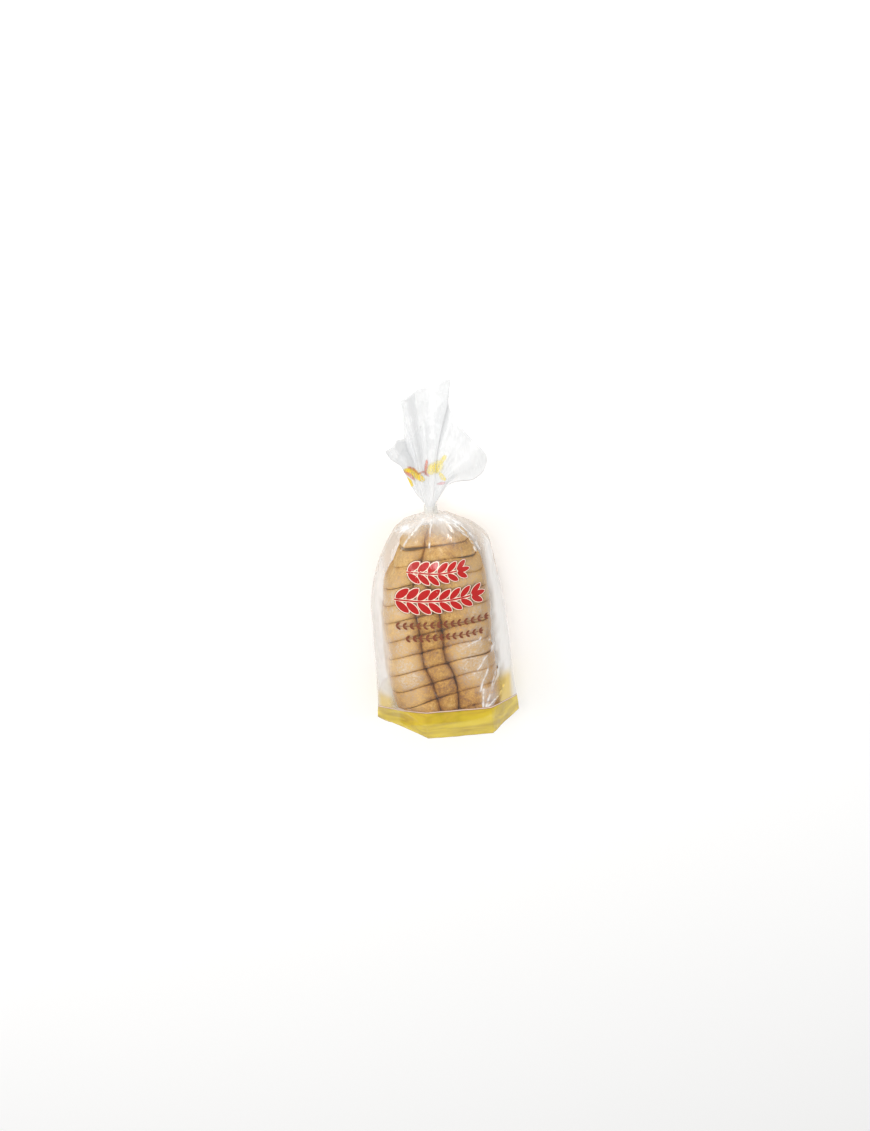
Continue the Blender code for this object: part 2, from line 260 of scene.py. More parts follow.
# Creases in the front film as (across, along) paths, in millimetres
CREASES = (
    ((22.9, -31.8), (36.8, -27.8), (41.1, -20.9)),
    ((46.2, -30.8), (48.7, -37.3), (47.0, -44.0)),
    ((29.0, -62.0), (34.7, -57.0), (39.1, -50.1), (45.0, -44.0)),
    ((33.0, -84.0), (36.5, -73.1), (40.9, -65.0), (43.4, -57.8)),
    ((45.0, -84.0), (47.9, -76.3), (51.2, -71.3), (52.5, -60.0)),
    ((34.3, -103.9), (36.9, -80.6)),
    ((34.3, -103.9), (51.7, -92.6), (57.0, -84.0)),
    ((38.0, -100.0), (44.0, -84.0), (49.0, -66.0)),
    ((5.1, 93.9), (21.5, 85.4), (34.8, 71.1), (40.0, 60.0)),
    ((14.0, 93.0), (26.4, 84.0), (36.8, 72.9), (45.0, 58.0)),
    ((-0.4, 92.0), (-2.0, 84.0), (-4.5, 69.5)),
    ((-35.0, 80.0), (-27.0, 84.5), (-18.0, 86.0)),
    ((-8.0, 92.0), (-22.0, 80.0), (-32.0, 66.0)),
    ((-30.0, -112.0), (-44.0, -101.0), (-58.0, -97.0)),
)
# The first paths are those that have a soft painted highlight along their edge
SOFT_CREASES = 8
CREASE_WIDTH = 0.0013
CREASE_HEIGHT = 0.0005

# Milky places on the front film's shoulders, partly haze and partly painted highlight, as
# (across, along, reach across, reach along, strength), in millimetres; how milky the film is
# where it gathers and at its sides; how white it turns along creases, partly its own whitening
# and partly painted highlight; and the painted highlights round the soft creases and on the
# facet
HAZE_AND_HIGHLIGHT_PLACES = ((14, 87, 14.83, 14.83, 0.30), (-24, 84, 7.75, 3.46, 0.55))
NECK_MILK = 0.32
SIDE_MILK = 0.24
CREASE_WHITE_AND_HIGHLIGHT = 0.60
HALO_HIGHLIGHT = 0.13
HALO_REACH = 0.0038
FACET_HIGHLIGHT = 0.22

# The film's flat facet at the right of the foot, which carries a painted highlight, and whose
# right side runs through one corner
FACET_LEFT_X = 0.0343
FACET_FOOT_Y = -0.104
FACET_HEAD_Y = -0.0806
FACET_CORNER = (0.0525, -0.0926)
FACET_SLOPE = 0.9

# The bag's half widths beside the loaf, and how white its loose sides turn seen edge on
LEFT_HALF_WIDTH = 0.068
RIGHT_HALF_WIDTH = 0.066
SLACK_LEFT = 0.85
SLACK_RIGHT = 1.2
SLACK_BACK = 0.4
# Where the painted glow of the back film's band fades out towards the head, on the left and the
# right
GLOW_LEFT_Y = -0.080
GLOW_RIGHT_Y = -0.066

# Distance past the printed band's edge, in millimetres, of film that is all band or has none
ALL_BAND = 30.0
NO_BAND = -50.0


def mix(a, b, share):
    return a + (b - a) * share


def ease(value):
    """Eases from 0 to 1 as value goes from 0 to 1."""
    value = np.clip(value, 0.0, 1.0)
    return value * value * (3 - 2 * value)


def rise(value, start, end):
    """Eases from 0 to 1 as value goes from start to end, which may lie below start."""
    return ease((value - start) / (end - start))


def swing(turns, shift=0.0):
    """A wave after that many turns, shifted by an angle."""
    return np.sin(2 * math.pi * turns + shift)


def spot(x, y, across, along, wide, long, strength):
    """A soft spot, its place and its reaches given in millimetres."""
    return strength * np.exp(-((1000 * x - across) / wide) ** 2
                             - ((1000 * y - along) / long) ** 2)


def through(points, at, column=1):
    """Values of a smooth curve through the points, whose first column is the position."""
    table = np.asarray(points, float)
    place, value = table[:, 0], table[:, column]
    step = np.diff(place)
    grade = np.diff(value) / step
    slope = np.zeros(len(place))
    slope[0], slope[-1] = grade[0], grade[-1]
    product, total = grade[:-1] * grade[1:], grade[:-1] + grade[1:]
    same = product > 0
    slope[1:-1][same] = 2 * product[same] / total[same]
    at = np.clip(at, place[0], place[-1])
    k = np.clip(np.searchsorted(place, at) - 1, 0, len(step) - 1)
    u = (at - place[k]) / step[k]
    bends = (u ** 3 - 2 * u ** 2 + u) * slope[k] + (u ** 3 - u ** 2) * slope[k + 1]
    return mix(value[k], value[k + 1], 3 * u ** 2 - 2 * u ** 3) + bends * step[k]


def lumps(points, size, seed, cells=32):
    """Smooth random values from -1 to 1, in lumps of that size, at the points."""
    lattice = np.random.default_rng(seed).uniform(-1, 1, (cells, cells, cells))
    place = np.asarray(points) / size + 500.0
    cell = np.floor(place).astype(int)
    part = ease(place - cell)
    total = 0.0
    for corner in np.ndindex(2, 2, 2):
        weight = np.abs(1 - np.array(corner) - part).prod(-1)
        i, j, k = np.moveaxis((cell + corner) % cells, -1, 0)
        total = total + weight * lattice[i, j, k]
    return total


def to_frame():
    """The move from the loaf's measure to the frame, from where the frame has the tape."""
    low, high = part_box("neck_tape")
    return (low + high) / 2 - TAPE_MIDDLE


def added(name, data):
    """A new object of this data, in the scene."""
    made = bpy.data.objects.new(name, data)
    bpy.context.scene.collection.objects.link(made)
    return made


def finished(name, points, faces, materials, values=None, smooth_angle=None):
    """A mesh object of these points and faces, placed in the frame and riding its body."""
    mesh = bpy.data.meshes.new(name)
    mesh.from_pydata([tuple(p) for p in points], [], [tuple(f) for f in faces])
    for label, numbers in (values or {}).items():
        attribute = mesh.attributes.new(label, "FLOAT", "POINT")
        attribute.data.foreach_set("value", np.asarray(numbers, np.float32).ravel())
    for material in materials:
        mesh.materials.append(material)
    mesh.transform(Matrix.Translation(to_frame()))
    mesh.shade_smooth()
    if smooth_angle:
        mesh.set_sharp_from_angle(angle=math.radians(smooth_angle))
    mesh.update()
    piece = added(name, mesh)
    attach(piece, "root")
    return piece


def band_faces(low, high, size, closed=True):
    """Faces between two rows of points, whose first points are low and high."""
    return [(low + c, low + (c + 1) % size, high + (c + 1) % size, high + c)
            for c in range(size if closed else size - 1)]


def grid_faces(rows, columns, closed=False, first=0):
    """Faces of a grid of points, listed row by row."""
    faces = []
    for low in range(first, first + (rows - 1) * columns, columns):
        faces += band_faces(low, low + columns, columns, closed)
    return faces


def fan_faces(start, size, middle):
    """Faces between a ring of points and one point in its middle."""
    return [(start + c, start + (c + 1) % size, middle) for c in range(size)]


def flipped(faces):
    """The same faces seen from their other side."""
    return [face[::-1] for face in faces]


def rounded_fall(share):
    """1 at a score line with a steep wall, falling to 0 at a lobe's crest."""
    near = 1 - np.clip(share, 0, 1)
    return 1 - np.sqrt(np.maximum(0, 1 - near * near))


def crust_drop(x, y):
    """How far the crust lies below its dome: lobes round off towards the score lines."""
    left = through(LEFT_SCORE, y)
    right = np.where(y > FORK_Y, left, np.maximum(through(RIGHT_SCORE, y), left + 0.001))
    outside = np.where(x < left, left - x, x - right)
    half = np.maximum(0.0005, (right - left) / 2)
    inside = np.minimum(x - left, right - x) / half
    strip = STRIP_SINK + (LOBE_DROP - STRIP_SINK) * rounded_fall(inside)
    lobes = LOBE_DROP * rounded_fall(outside / LOBE_RADIUS)
    return np.where((x > left) & (x < right), strip, lobes)


def film_drop(x, y):
    """How far the film dips into the score lines, which it spans more than it follows."""
    mean = sum(crust_drop(x + span, y) for span in FILM_SPANS) / len(FILM_SPANS)
    return np.minimum(FILM_FOLLOWS * mean, FILM_DROP_LIMIT)


def across_fold(x, left, right, fold, at_left, at_fold, at_right):
    """Value along the folded foot: level between the fold's corners, straight to the ears."""
    rising = mix(at_left, at_fold, np.clip((x - left) / (fold[0] - left), 0, 1))
    falling = mix(at_right, at_fold, np.clip((right - x) / (right - fold[1]), 0, 1))
    return np.where(x < fold[0], rising, np.where(x > fold[1], falling, at_fold))


def film_section(share, y, upper):
    """(x, z) of the film at length y, from the left fold at share 0 to the right one at 1."""
    left, right, top, under = (through(BODY_STATIONS, y, column) for column in (1, 2, 3, 4))
    neck = rise(y, SHOULDER_Y, NECK_FROM_Y)
    side_z = mix(SIDE_FOLD_Z, NECK_Z, neck)
    folded = rise(y, FOOT_MORPH_FROM, FOOT_MORPH_TO)
    turn = math.pi * share
    if upper:
        across = -np.cos(turn)
        x = mix(left, right, (across + 1) / 2)
        z = side_z + (top - side_z) * np.sin(turn)
        flat = across_fold(x, left, right, FRONT_FOLD, SIDE_FOLD_Z, FRONT_FOLD_Z, SIDE_FOLD_Z)
        resting = (1 - folded) * rise(y, 0.080, SHOULDER_Y) * rise(abs(across), 0.88, 0.58)
        return x, mix(z, flat, folded) - resting * film_drop(x, y)
    power = mix(2 / UNDER_SQUARENESS, 1.0, neck)
    across = -np.sign(np.cos(turn)) * np.abs(np.cos(turn)) ** power
    x = mix(left, right, (across + 1) / 2)
    spread = 0.003 * (1 - neck)
    z = side_z - (side_z - under + spread) * np.abs(np.sin(turn)) ** power
    flat = across_fold(x, left, right, UNDER_FOLD, SIDE_FOLD_Z, -spread, SIDE_FOLD_Z)
    return x, np.maximum(mix(z, flat, folded), under)


def near_path(x, y, path):
    """Distance of each point from a path given in millimetres."""
    best = np.full(np.shape(x), 1.0)
    points = np.array(path) / 1000
    for start, end in zip(points, points[1:]):
        run = end - start
        at = ((x - start[0]) * run[0] + (y - start[1]) * run[1]) / (run @ run)
        at = np.clip(at, 0, 1)
        away = np.hypot(x - start[0] - at * run[0], y - start[1] - at * run[1])
        best = np.minimum(best, away)
    return best


def film_heights(x, y):
    """Heights of the front and the back film over places of the bag's plan."""
    left, right, top, under = (through(BODY_STATIONS, y, column) for column in (1, 2, 3, 4))
    across = np.clip(2 * (x - left) / (right - left) - 1, -1, 1)
    turn = np.arccos(-across)
    upper = film_section(turn / math.pi, y, True)[1]
    power = mix(UNDER_SQUARENESS, 2.0, rise(y, SHOULDER_Y, NECK_FROM_Y))
    turn = np.arccos(-np.sign(across) * np.abs(across) ** (power / 2))
    return upper, film_section(turn / math.pi, y, False)[1]


def kept_inside(points):
    """Draws bread in where it would come through the film."""
    x, y = points[..., 0], points[..., 1]
    left, right = through(BODY_STATIONS, y, 1), through(BODY_STATIONS, y, 2)
    x = np.clip(x, left + FOLD_CLEARANCE, right - FOLD_CLEARANCE)
    upper, lower = film_heights(x, y)
    middle = (upper + lower) / 2
    clear = FILM_CLEARANCE * (1 + rise(y, -0.090, -0.105))
    most = np.maximum(upper - clear, middle)
    least = np.minimum(lower + clear, middle)
    z = np.clip(points[..., 2], least, most)
    return np.stack([x, np.maximum(y, FOOT_FOLD_Y + FOOT_CLEARANCE), z], -1)


def leaned(points):
    """Moves upright slices' points back, by how far they lie below the slices' upper side."""
    below = LEAN_FROM_Z - points[..., 2]
    back = SLICE_LEAN * below + EDGE_DROOP * DROOP_HEIGHT * (1 - np.exp(-below / DROOP_HEIGHT))
    return points - np.stack([0 * back, back, 0 * back], -1)


def film_creases(x, y):
    """Ridges of the creases in the front film, from 0 to 1."""
    ridge = np.zeros(np.shape(x))
    place = np.stack([x, y + 0 * x, 0 * x], -1)
    width = CREASE_WIDTH * (0.55 + 0.75 * ease(0.5 + 0.9 * lumps(place, 0.0035, 11)))
    for path in CREASES:
        share = np.clip(near_path(x, y, path) / width, 0, 1)
        ridge = np.maximum(ridge, (1 - share ** 2) ** 2)
    return ridge


def pleats(y, order):
    """How far the gathered film stands out round the neck, in its radial pleats."""
    wide = PLEAT * swing(13 * order, 2.0 * swing(3 * order))
    fine = FINE_PLEAT * swing(31 * order, 1.3 * swing(5 * order))
    at_tape = TAPE_PLEAT * swing(17 * order)
    return rise(y, 0.052, 0.088) * mix(wide + fine, at_tape, rise(y, 0.0885, 0.0945))


def film_points(share, y, upper):
    """The film's points with its pleats, creases and dents."""
    x, z = film_section(share, y, upper)
    flat = np.stack([x, y + 0 * x, z], -1)
    free = 1 - rise(y, 0.080, 0.092)
    dents = FILM_DENT * lumps(flat * (1.0, 0.5, 1.0), 0.021, 3)
    dents = dents + FILM_SMALL_DENT * lumps(flat, 0.008, 4)
    out = pleats(y, 0.5 * share if upper else 1 - 0.5 * share)
    out = out + free * dents * (1.0 if upper else BACK_DENTED)
    if upper:
        out = out + free * CREASE_HEIGHT * film_creases(x, y)
    away_x, away_z = x, z - mix(SIDE_FOLD_Z, NECK_Z, rise(y, 0.04, 0.08))
    out = out / np.maximum(1e-6, np.hypot(away_x, away_z))
    z = np.maximum(FILM_LOWEST_Z, z + out * away_z)
    return np.stack([x + out * away_x, y + 0 * x, z], -1)


def film_rows(count):
    """Places along the film from its foot fold at 0 to the tape at 1, closer by the neck."""
    plain = np.linspace(0, NECK_SHARE, int(count * PLAIN_ROWS), endpoint=False)
    return np.concatenate([plain, np.linspace(NECK_SHARE, 1.0, count - len(plain))])


def foot_cap(edge, left, rows):
    """The folded foot's end, from the seam across its middle to the film's edge."""
    drawn = np.linspace(0, 1, rows, endpoint=False)[:, None]
    seam_y = mix(FOOT_FOLD_Y + SEAM_SINK, edge[..., 1], np.abs(edge[..., 0] / left) ** 4)
    cap = np.stack([edge[..., 0] + 0 * drawn, mix(seam_y, edge[..., 1], drawn),
                    mix(SIDE_FOLD_Z, edge[..., 2], drawn)], -1)
    cap[..., 1] += FOOT_DENT * np.sin(math.pi * drawn) * lumps(cap, 0.012, 8)
    return cap


def film_panel(name, upper, rows, columns, cap_rows, material):
    """The front or back of the bag's film, with its half of the folded foot."""
    share = np.linspace(0, 1, columns)[None, :]
    left, right = BODY_STATIONS[0][1:3]
    fold = FRONT_FOLD if upper else UNDER_FOLD
    x = film_section(share, np.full(share.shape, FOOT_FOLD_Y), upper)[0]
    fold_y = across_fold(x, left, right, fold, LEFT_EAR_Y, FOOT_FOLD_Y, RIGHT_EAR_Y)
    y = fold_y + (FILM_END_Y - fold_y) * film_rows(rows)[:, None]
    body = film_points(share + 0 * y, y, upper)
    cap = foot_cap(body[:1], left, cap_rows)
    points = np.concatenate([cap, body])
    side = np.abs(2 * share - 1)
    if upper:
        line = mix(BAND_FRONT_Y, BAND_SIDE_Y, side ** 1.6)
    else:
        line = mix(BAND_BACK_Y, BAND_SIDE_Y, side ** 6)
    band = np.concatenate([np.full(cap.shape[:2], ALL_BAND), (line - y) * 1000])
    values = {"band_mm": band, "whiteness": film_haze_and_highlights(points, upper),
              "slack": film_slack(points, upper)}
    # The front film's sides carry a painted glow of the back film's band
    if upper:
        values["glow"] = painted_band_glow(points)
    faces = grid_faces(len(points), columns)
    return finished(name, points.reshape(-1, 3), faces if upper else flipped(faces),
                    [material], values)


def side_share(x):
    """How far out a place is, from 0 at the loaf's middle to about 1 at the bag's sides."""
    return np.abs(x) / np.where(x < 0, LEFT_HALF_WIDTH, RIGHT_HALF_WIDTH)


def on_facet(x, y):
    """True on the flat facet at the right of the foot."""
    right_x = FACET_CORNER[0] + FACET_SLOPE * (y - FACET_CORNER[1])
    return (x > FACET_LEFT_X) & (x < right_x) & (y > FACET_FOOT_Y) & (y < FACET_HEAD_Y)


def film_haze_and_highlights(points, upper):
    """Where the film is milky, gathered at the neck and at its sides, and where it carries
    painted highlights: along creases, partly its own whitening, round the soft creases, on the
    shoulders and on the facet.
    """
    x, y = points[..., 0], points[..., 1]
    white = NECK_MILK * rise(y, 0.071, 0.095)
    white = white + SIDE_MILK * rise(side_share(x), 0.74, 0.92) * rise(y, -0.125, -0.105)
    if upper:
        broken = 0.5 + 0.5 * lumps(points, 0.0030, 9)
        # Along creases: partly the film's own whitening, partly painted highlight
        white = white + CREASE_WHITE_AND_HIGHLIGHT * film_creases(x, y) * rise(broken, 0.12, 0.62)
        # A soft painted highlight round the first creases
        near = [near_path(x, y, path) for path in CREASES[:SOFT_CREASES]]
        halo = np.exp(-(np.min(near, axis=0) / HALO_REACH) ** 2)
        white = white + HALO_HIGHLIGHT * halo * rise(broken, 0.2, 0.7)
        # Haze and painted highlights on the shoulders, and a painted highlight on the facet
        white = white + sum(spot(x, y, *place) for place in HAZE_AND_HIGHLIGHT_PLACES)
        white = white + FACET_HIGHLIGHT * on_facet(x, y)
    return np.clip(white, 0, 1)


def film_slack(points, upper):
    """Where the film stands off the loaf at its sides and turns white seen edge on."""
    x, y = points[..., 0], points[..., 1]
    aside = side_share(x)
    slack = mix(rise(aside, 0.74, 0.84), rise(aside, 0.62, 0.82), rise(y, -0.104, -0.074))
    slack = slack * np.where(x > 0, SLACK_RIGHT, SLACK_LEFT)
    return slack if upper else SLACK_BACK * slack


def painted_band_glow(points):
    """Where the front film's sides are painted with the lit yellow of the back film's band, as a
    painted glow.
    """
    x, y = points[..., 0], points[..., 1]
    aside = side_share(x)
    line = np.where(x < 0, GLOW_LEFT_Y, GLOW_RIGHT_Y)
    return rise(aside, 0.70, 0.82) * rise(aside, 1.03, 0.93) * rise(y, line, line - 0.014)


def grey_fold(points):
    """The darker fold across the ruffle's middle, sharp on its upper side and soft below."""
    x, y = points[..., 0], points[..., 1]
    slope = (FOLD_TO[1] - FOLD_FROM[1]) / (FOLD_TO[0] - FOLD_FROM[0])
    below = FOLD_FROM[1] + slope * (x - FOLD_FROM[0]) - y
    return rise(below, 0, 0.002) * rise(below, 0.042, 0.012)


def ruffle_bend(reach, share):
    """How much each line of the ruffle bends on its way from the throat to the mouth."""
    left = 1.25 - 0.38 * rise(reach, 0, 0.66) + 0.15 * rise(reach, 0.66, 0.86)
    right = 0.60 + 0.42 * rise(reach, 0.30, 0.80)
    return mix(mix(left, right, share), 1.0, rise(reach, 0.90, 1.0))


def ruffle_waves(reach, share, side):
    """How far the ruffle's film rises in broad waves, folds and fine gathers."""
    wave = RUFFLE_WAVE * reach * swing(3.6 * share, 0.5)
    fold = RUFFLE_FOLD * swing(7.0 * share) * rise(reach, 0, 0.4)
    uneven = 17 * share + 1.6 * swing(2.3 * share, side)
    fine = RUFFLE_GATHER * swing(uneven) * rise(reach, 0, 0.15)
    fine = fine * (1 - 0.75 * rise(reach, 0.25, 0.75))
    return (wave + fold + fine) * np.abs(np.sin(math.pi * share)) ** 0.5


def ruffle_half(reach, share):
    """Half the gap between the ruffle's two layers: round at its throat, flat at its mouth."""
    rim = np.sqrt(np.maximum(0, 1 - (2 * share - 1) ** 8))
    flat = (0.0011 + 0.0012 * rise(reach, 0.6, 1.0)) * rim
    return mix(THROAT_RADIUS * np.sin(math.pi * share), flat, rise(reach, 0, 0.22))


def ruffle_whiteness(points, reach):
    """How milky the ruffle is: more in its throat, in its middle fold and at its rim."""
    white = 0.38 + 0.14 * rise(reach, 0.5, 0) + 0.10 * lumps(points, 0.014, 23)
    white = white + 0.34 * grey_fold(points) + 0.22 * rise(reach, 0.985, 0.995)
    return np.clip(white, 0, 1)


def ruffle_sheet(name, rows, columns, material):
    """The open end of the bag above the tape: two layers of film that meet at side folds."""
    reach = np.linspace(0, 1, rows)[:, None] ** 1.25
    turn = np.linspace(0, 2, 2 * columns, endpoint=False)[None, :]
    share = np.where(turn <= 1, turn, 2 - turn)
    side = np.where((turn > 0) & (turn < 1), 1.0, np.where(turn > 1, -1.0, 0.0))
    across, beyond, climb = (through(MOUTH, share, column) for column in (1, 2, 3))
    base = -THROAT_RADIUS * np.cos(math.pi * share)
    length = np.hypot(across - base, beyond) * reach
    angle = np.arctan2(across - base, beyond) * ruffle_bend(reach, share)
    lift = ruffle_waves(reach, share, side) + side * ruffle_half(reach, share)
    points = np.stack([base + length * np.sin(angle), THROAT_Y + length * np.cos(angle),
                       NECK_Z + climb * reach ** 1.6 + lift], -1)
    layer = np.stack([points[..., 0], points[..., 1], LAYERS_APART * side + 0 * reach], -1)
    dents = RUFFLE_DENT * lumps(layer, 0.019, 21)
    dents = dents + RUFFLE_SMALL_DENT * lumps(layer, 0.007, 22)
    points = points + (rise(reach, 0, 0.3) * dents)[..., None] * (0.2, 0.2, 1.0)
    throat = points[:1] * (1, 0, 1) + (0, THROAT_FROM_Y, 0)
    points = np.concatenate([throat, points])
    white = ruffle_whiteness(points, np.concatenate([[[0.0]], reach]))
    faces = flipped(grid_faces(rows + 1, 2 * columns, closed=True))
    return finished(name, points.reshape(-1, 3), faces, [material],
                    {"band_mm": np.full(white.shape, NO_BAND), "whiteness": white})


def drawn_to_scores(share, y, left, right, power):
    """Moves a section's points sideways, so that one row of them lies on each score line."""
    first = through(LEFT_SCORE, y)
    second = np.maximum(through(RIGHT_SCORE, y), first + STRIP_LEAST_WIDTH)
    places = []
    for x in (first, second):
        across = np.clip(2 * (x - left) / (right - left) - 1, -1, 1)
        places.append(np.arccos(-np.sign(across) * np.abs(across) ** (1 / power)) / math.pi)
    low, high = 0.4, 0.6
    drawn = np.where(share < low, places[0] * share / low,
                     np.where(share > high, mix(places[1], 1.0, (share - high) / (1 - high)),
                              mix(places[0], places[1], (share - low) / (high - low))))
    return mix(share, drawn, rise(y, 0.092, 0.072))


def crust_section(share, y, upper):
    """(x, z) of the crust at length y, from its left side at share 0 to its right at 1."""
    left, right = through(CRUST_SIDES, y, 1), through(CRUST_SIDES, y, 2)
    power = 2 / (DOME_SQUARENESS if upper else BASE_SQUARENESS)
    if upper:
        share = drawn_to_scores(share, y, left, right, power)
    turn = math.pi * share
    across = -np.sign(np.cos(turn)) * np.abs(np.cos(turn)) ** power
    height = np.abs(np.sin(turn)) ** power
    x = mix(left, right, (across + 1) / 2)
    if not upper:
        return x, CRUST_WIDEST_Z - (CRUST_WIDEST_Z - CRUST_BASE_Z) * height
    top = through(BODY_STATIONS, y, 3) - CRUST_CLEARANCE
    return x, mix(CRUST_WIDEST_Z, top, height) - crust_drop(x, y) * rise(height, 0, 0.5)


def cut_y(cut, x, towards_head):
    """Where a cut's face lies along the loaf, on its head or its foot side."""
    y, turn, left_gap, right_gap, gap_x, sag = cut
    near = np.clip((x - SAG_MIDDLE_X) / SAG_REACH, -1, 1)
    y = y - sag * (1 - near ** 2) ** 2
    gap = mix(left_gap, right_gap, rise(x, gap_x - GAP_RUN / 2, gap_x + GAP_RUN / 2)) / 2
    return y + math.tan(math.radians(turn)) * x + (gap if towards_head else -gap)


def crust_ring(y_at):
    """A ring of the crust's points, on the surface that y_at gives for each x."""
    rings = []
    for upper, count in ((True, UPPER_POINTS), (False, LOWER_POINTS)):
        share = np.linspace(0, 1, count)
        y = y_at(0 * share)
        for _ in range(4):
            x, z = crust_section(share, y, upper)
            y = y_at(x)
        ring = np.stack([x, y, z], -1)
        rings.append(ring if upper else ring[::-1][1:-1])
    return np.concatenate(rings)


def outward(ring):
    """Directions away from the middle of the loaf, flattened like its section."""
    middle_x, middle_z = LOAF_MIDDLE
    half_x, half_z = LOAF_HALF_SIZES
    away = np.stack([(ring[..., 0] - middle_x) / half_x ** 2, 0 * ring[..., 0],
                     (ring[..., 2] - middle_z) / half_z ** 2], -1)
    return away / np.linalg.norm(away, axis=-1, keepdims=True)


def pushed_out(rows, amount):
    """Moves crust points outward by an amount, but not those of the flat base."""
    return rows + outward(rows) * (amount * rise(rows[..., 2], 0.001, 0.021))[..., None]


def on_strip(x):
    """1 on the strip between the two score lines, easing to 0 on the lobes beside it."""
    return rise(np.abs(x - STRIP_MIDDLE_X), 0.022, 0.010)


def rough_crust(rows, seed):
    """Gives the crust its dents and grain, and keeps the base flat."""
    dents = CRUST_DENT * lumps(rows, 0.017, 31)
    dents = dents + CRUST_SMALL_DENT * lumps(rows, 0.0058, 32 + seed)
    rows = pushed_out(rows, dents + CRUST_GRAIN * lumps(rows, 0.0022, 33))
    rows[..., 2] = np.maximum(rows[..., 2], CRUST_LOWEST_Z)
    return rows


def face_rings(ring, y_at):
    """Rings of a cut face, from the crust's rim to its middle, and the middle point."""
    rings = []
    for share in [CRUST_RIM, *np.linspace(0, 1, FACE_RINGS + 1)[1:-1]]:
        x = mix(ring[:, 0], LOAF_MIDDLE[0], share)
        z = mix(ring[:, 2], LOAF_MIDDLE[1], share)
        rings.append(np.stack([x, y_at(x), z], -1))
    middle_y = y_at(np.array(LOAF_MIDDLE[:1]))[0]
    return rings, np.array([[LOAF_MIDDLE[0], middle_y, LOAF_MIDDLE[1]]])


def closed_face(first_rim, first, size, ring_count, turned):
    """Faces that join a rim, its inner rings and the middle point of a cut face."""
    starts = [first_rim] + [first + size * k for k in range(ring_count)]
    faces = []
    for low, high in zip(starts, starts[1:]):
        faces += band_faces(low, high, size)
    faces += fan_faces(starts[-1], size, first + size * ring_count)
    return flipped(faces) if turned else faces


# How far baked the crust is at least, and what is added: in score lines, partly browner crust
# and partly painted shade; on the strip; painted shade at a slice's edges, on a lobe and on the
# strip;
# painted shade on the right side and along grooves; and a darkening towards the base
BAKED_LEAST = 0.38
SCORE_BAKE_AND_SHADE = 0.34
STRIP_BAKED = 0.04
EDGE_SHADE = (0.10, 0.22)
RIGHT_SHADE = 0.10
GROOVE_SHADE = 0.06
LOW_DARKENING = 0.16
GROOVE_WIDTH = 0.0022
# Tone of each slice from the head heel to the foot heel, added to how far it is baked: partly
# each slice's own tone and partly painted light, which sets some slices paler or darker than the
# rest
SLICE_TONES_AND_LIGHT = (-0.16, -0.18, -0.13, -0.08, -0.03, -0.06, 0.00, -0.04, -0.02, 0.00, -0.03, 0.07)
# Flour all over, and floury places as (across, along, reach, strength), in millimetres
FLOUR_LEAST = 0.10
FLOUR_PLACES = (
    (27, -36, 18, 0.95), (28, -55, 19, 1.0), (-37, -49, 16, 0.8), (-34, -66, 15, 0.75),
    (-39, -26, 14, 0.6), (-40, 24, 20, 0.75), (-22, 78, 15, 0.5), (36, -70, 12, 0.5),
    (-42, -2, 16, 0.6), (36, 16, 17, 0.70), (34, 42, 15, 0.60), (38, -8, 14, 0.60),
    (-30, -88, 12, 0.35),
)


def slice_tone_and_light(x, y):
    """The tone of the slice that each point belongs to, partly its own and partly painted light.
    """
    cuts = np.array([cut[0] for cut in CUTS])
    degrees = np.array([cut[1] for cut in CUTS])
    slope = np.tan(np.radians(np.interp(y, cuts[::-1], degrees[::-1])))
    return np.array(SLICE_TONES_AND_LIGHT)[np.searchsorted(-cuts, slope * x - y)]


def grooves(x, y):
    """1 along the score lines, which are deepest towards the foot."""
    left = through(LEFT_SCORE, y)
    right = np.where(y > FORK_Y, left, through(RIGHT_SCORE, y))
    away = np.minimum(np.abs(x - left), np.abs(x - right)) / GROOVE_WIDTH
    return np.exp(-away ** 2) * mix(1, 0.3, rise(y, 0.020, 0.050))


def crust_values(rows, edge):
    """Numbers that the crust's material reads: how far baked each point is, with painted shade
    added in, and how floury it is.
    """
    x, y, z = rows[..., 0], rows[..., 1], rows[..., 2]
    upper = rise(z, 0.030, 0.050)
    scored = crust_drop(x, y) / LOBE_DROP * upper
    strip = on_strip(x) * upper
    # Score lines darken partly as browner crust and partly as painted shade
    baked_and_shaded = BAKED_LEAST + SCORE_BAKE_AND_SHADE * scored ** 1.9 + STRIP_BAKED * strip
    # Painted shade at the slice's edges where slices part, and a darkening towards the base
    baked_and_shaded = baked_and_shaded + mix(*EDGE_SHADE, strip) * edge + LOW_DARKENING * rise(z, 0.034, 0.004)
    # Painted shade on the right side, as if lit from the left, and along the grooves
    baked_and_shaded = baked_and_shaded + (RIGHT_SHADE * rise(x, -0.015, 0.025) + GROOVE_SHADE * grooves(x, y)) * upper
    flour = FLOUR_LEAST + sum(spot(x, y, across, along, reach, reach, strength)
                              for across, along, reach, strength in FLOUR_PLACES)
    flour = flour * (1 - 0.75 * scored) * (1 - 0.8 * edge) * mix(0.35, 1.0, upper)
    return {"baked_and_shaded": baked_and_shaded + slice_tone_and_light(x, y), "floured": np.clip(flour, 0, 1)}


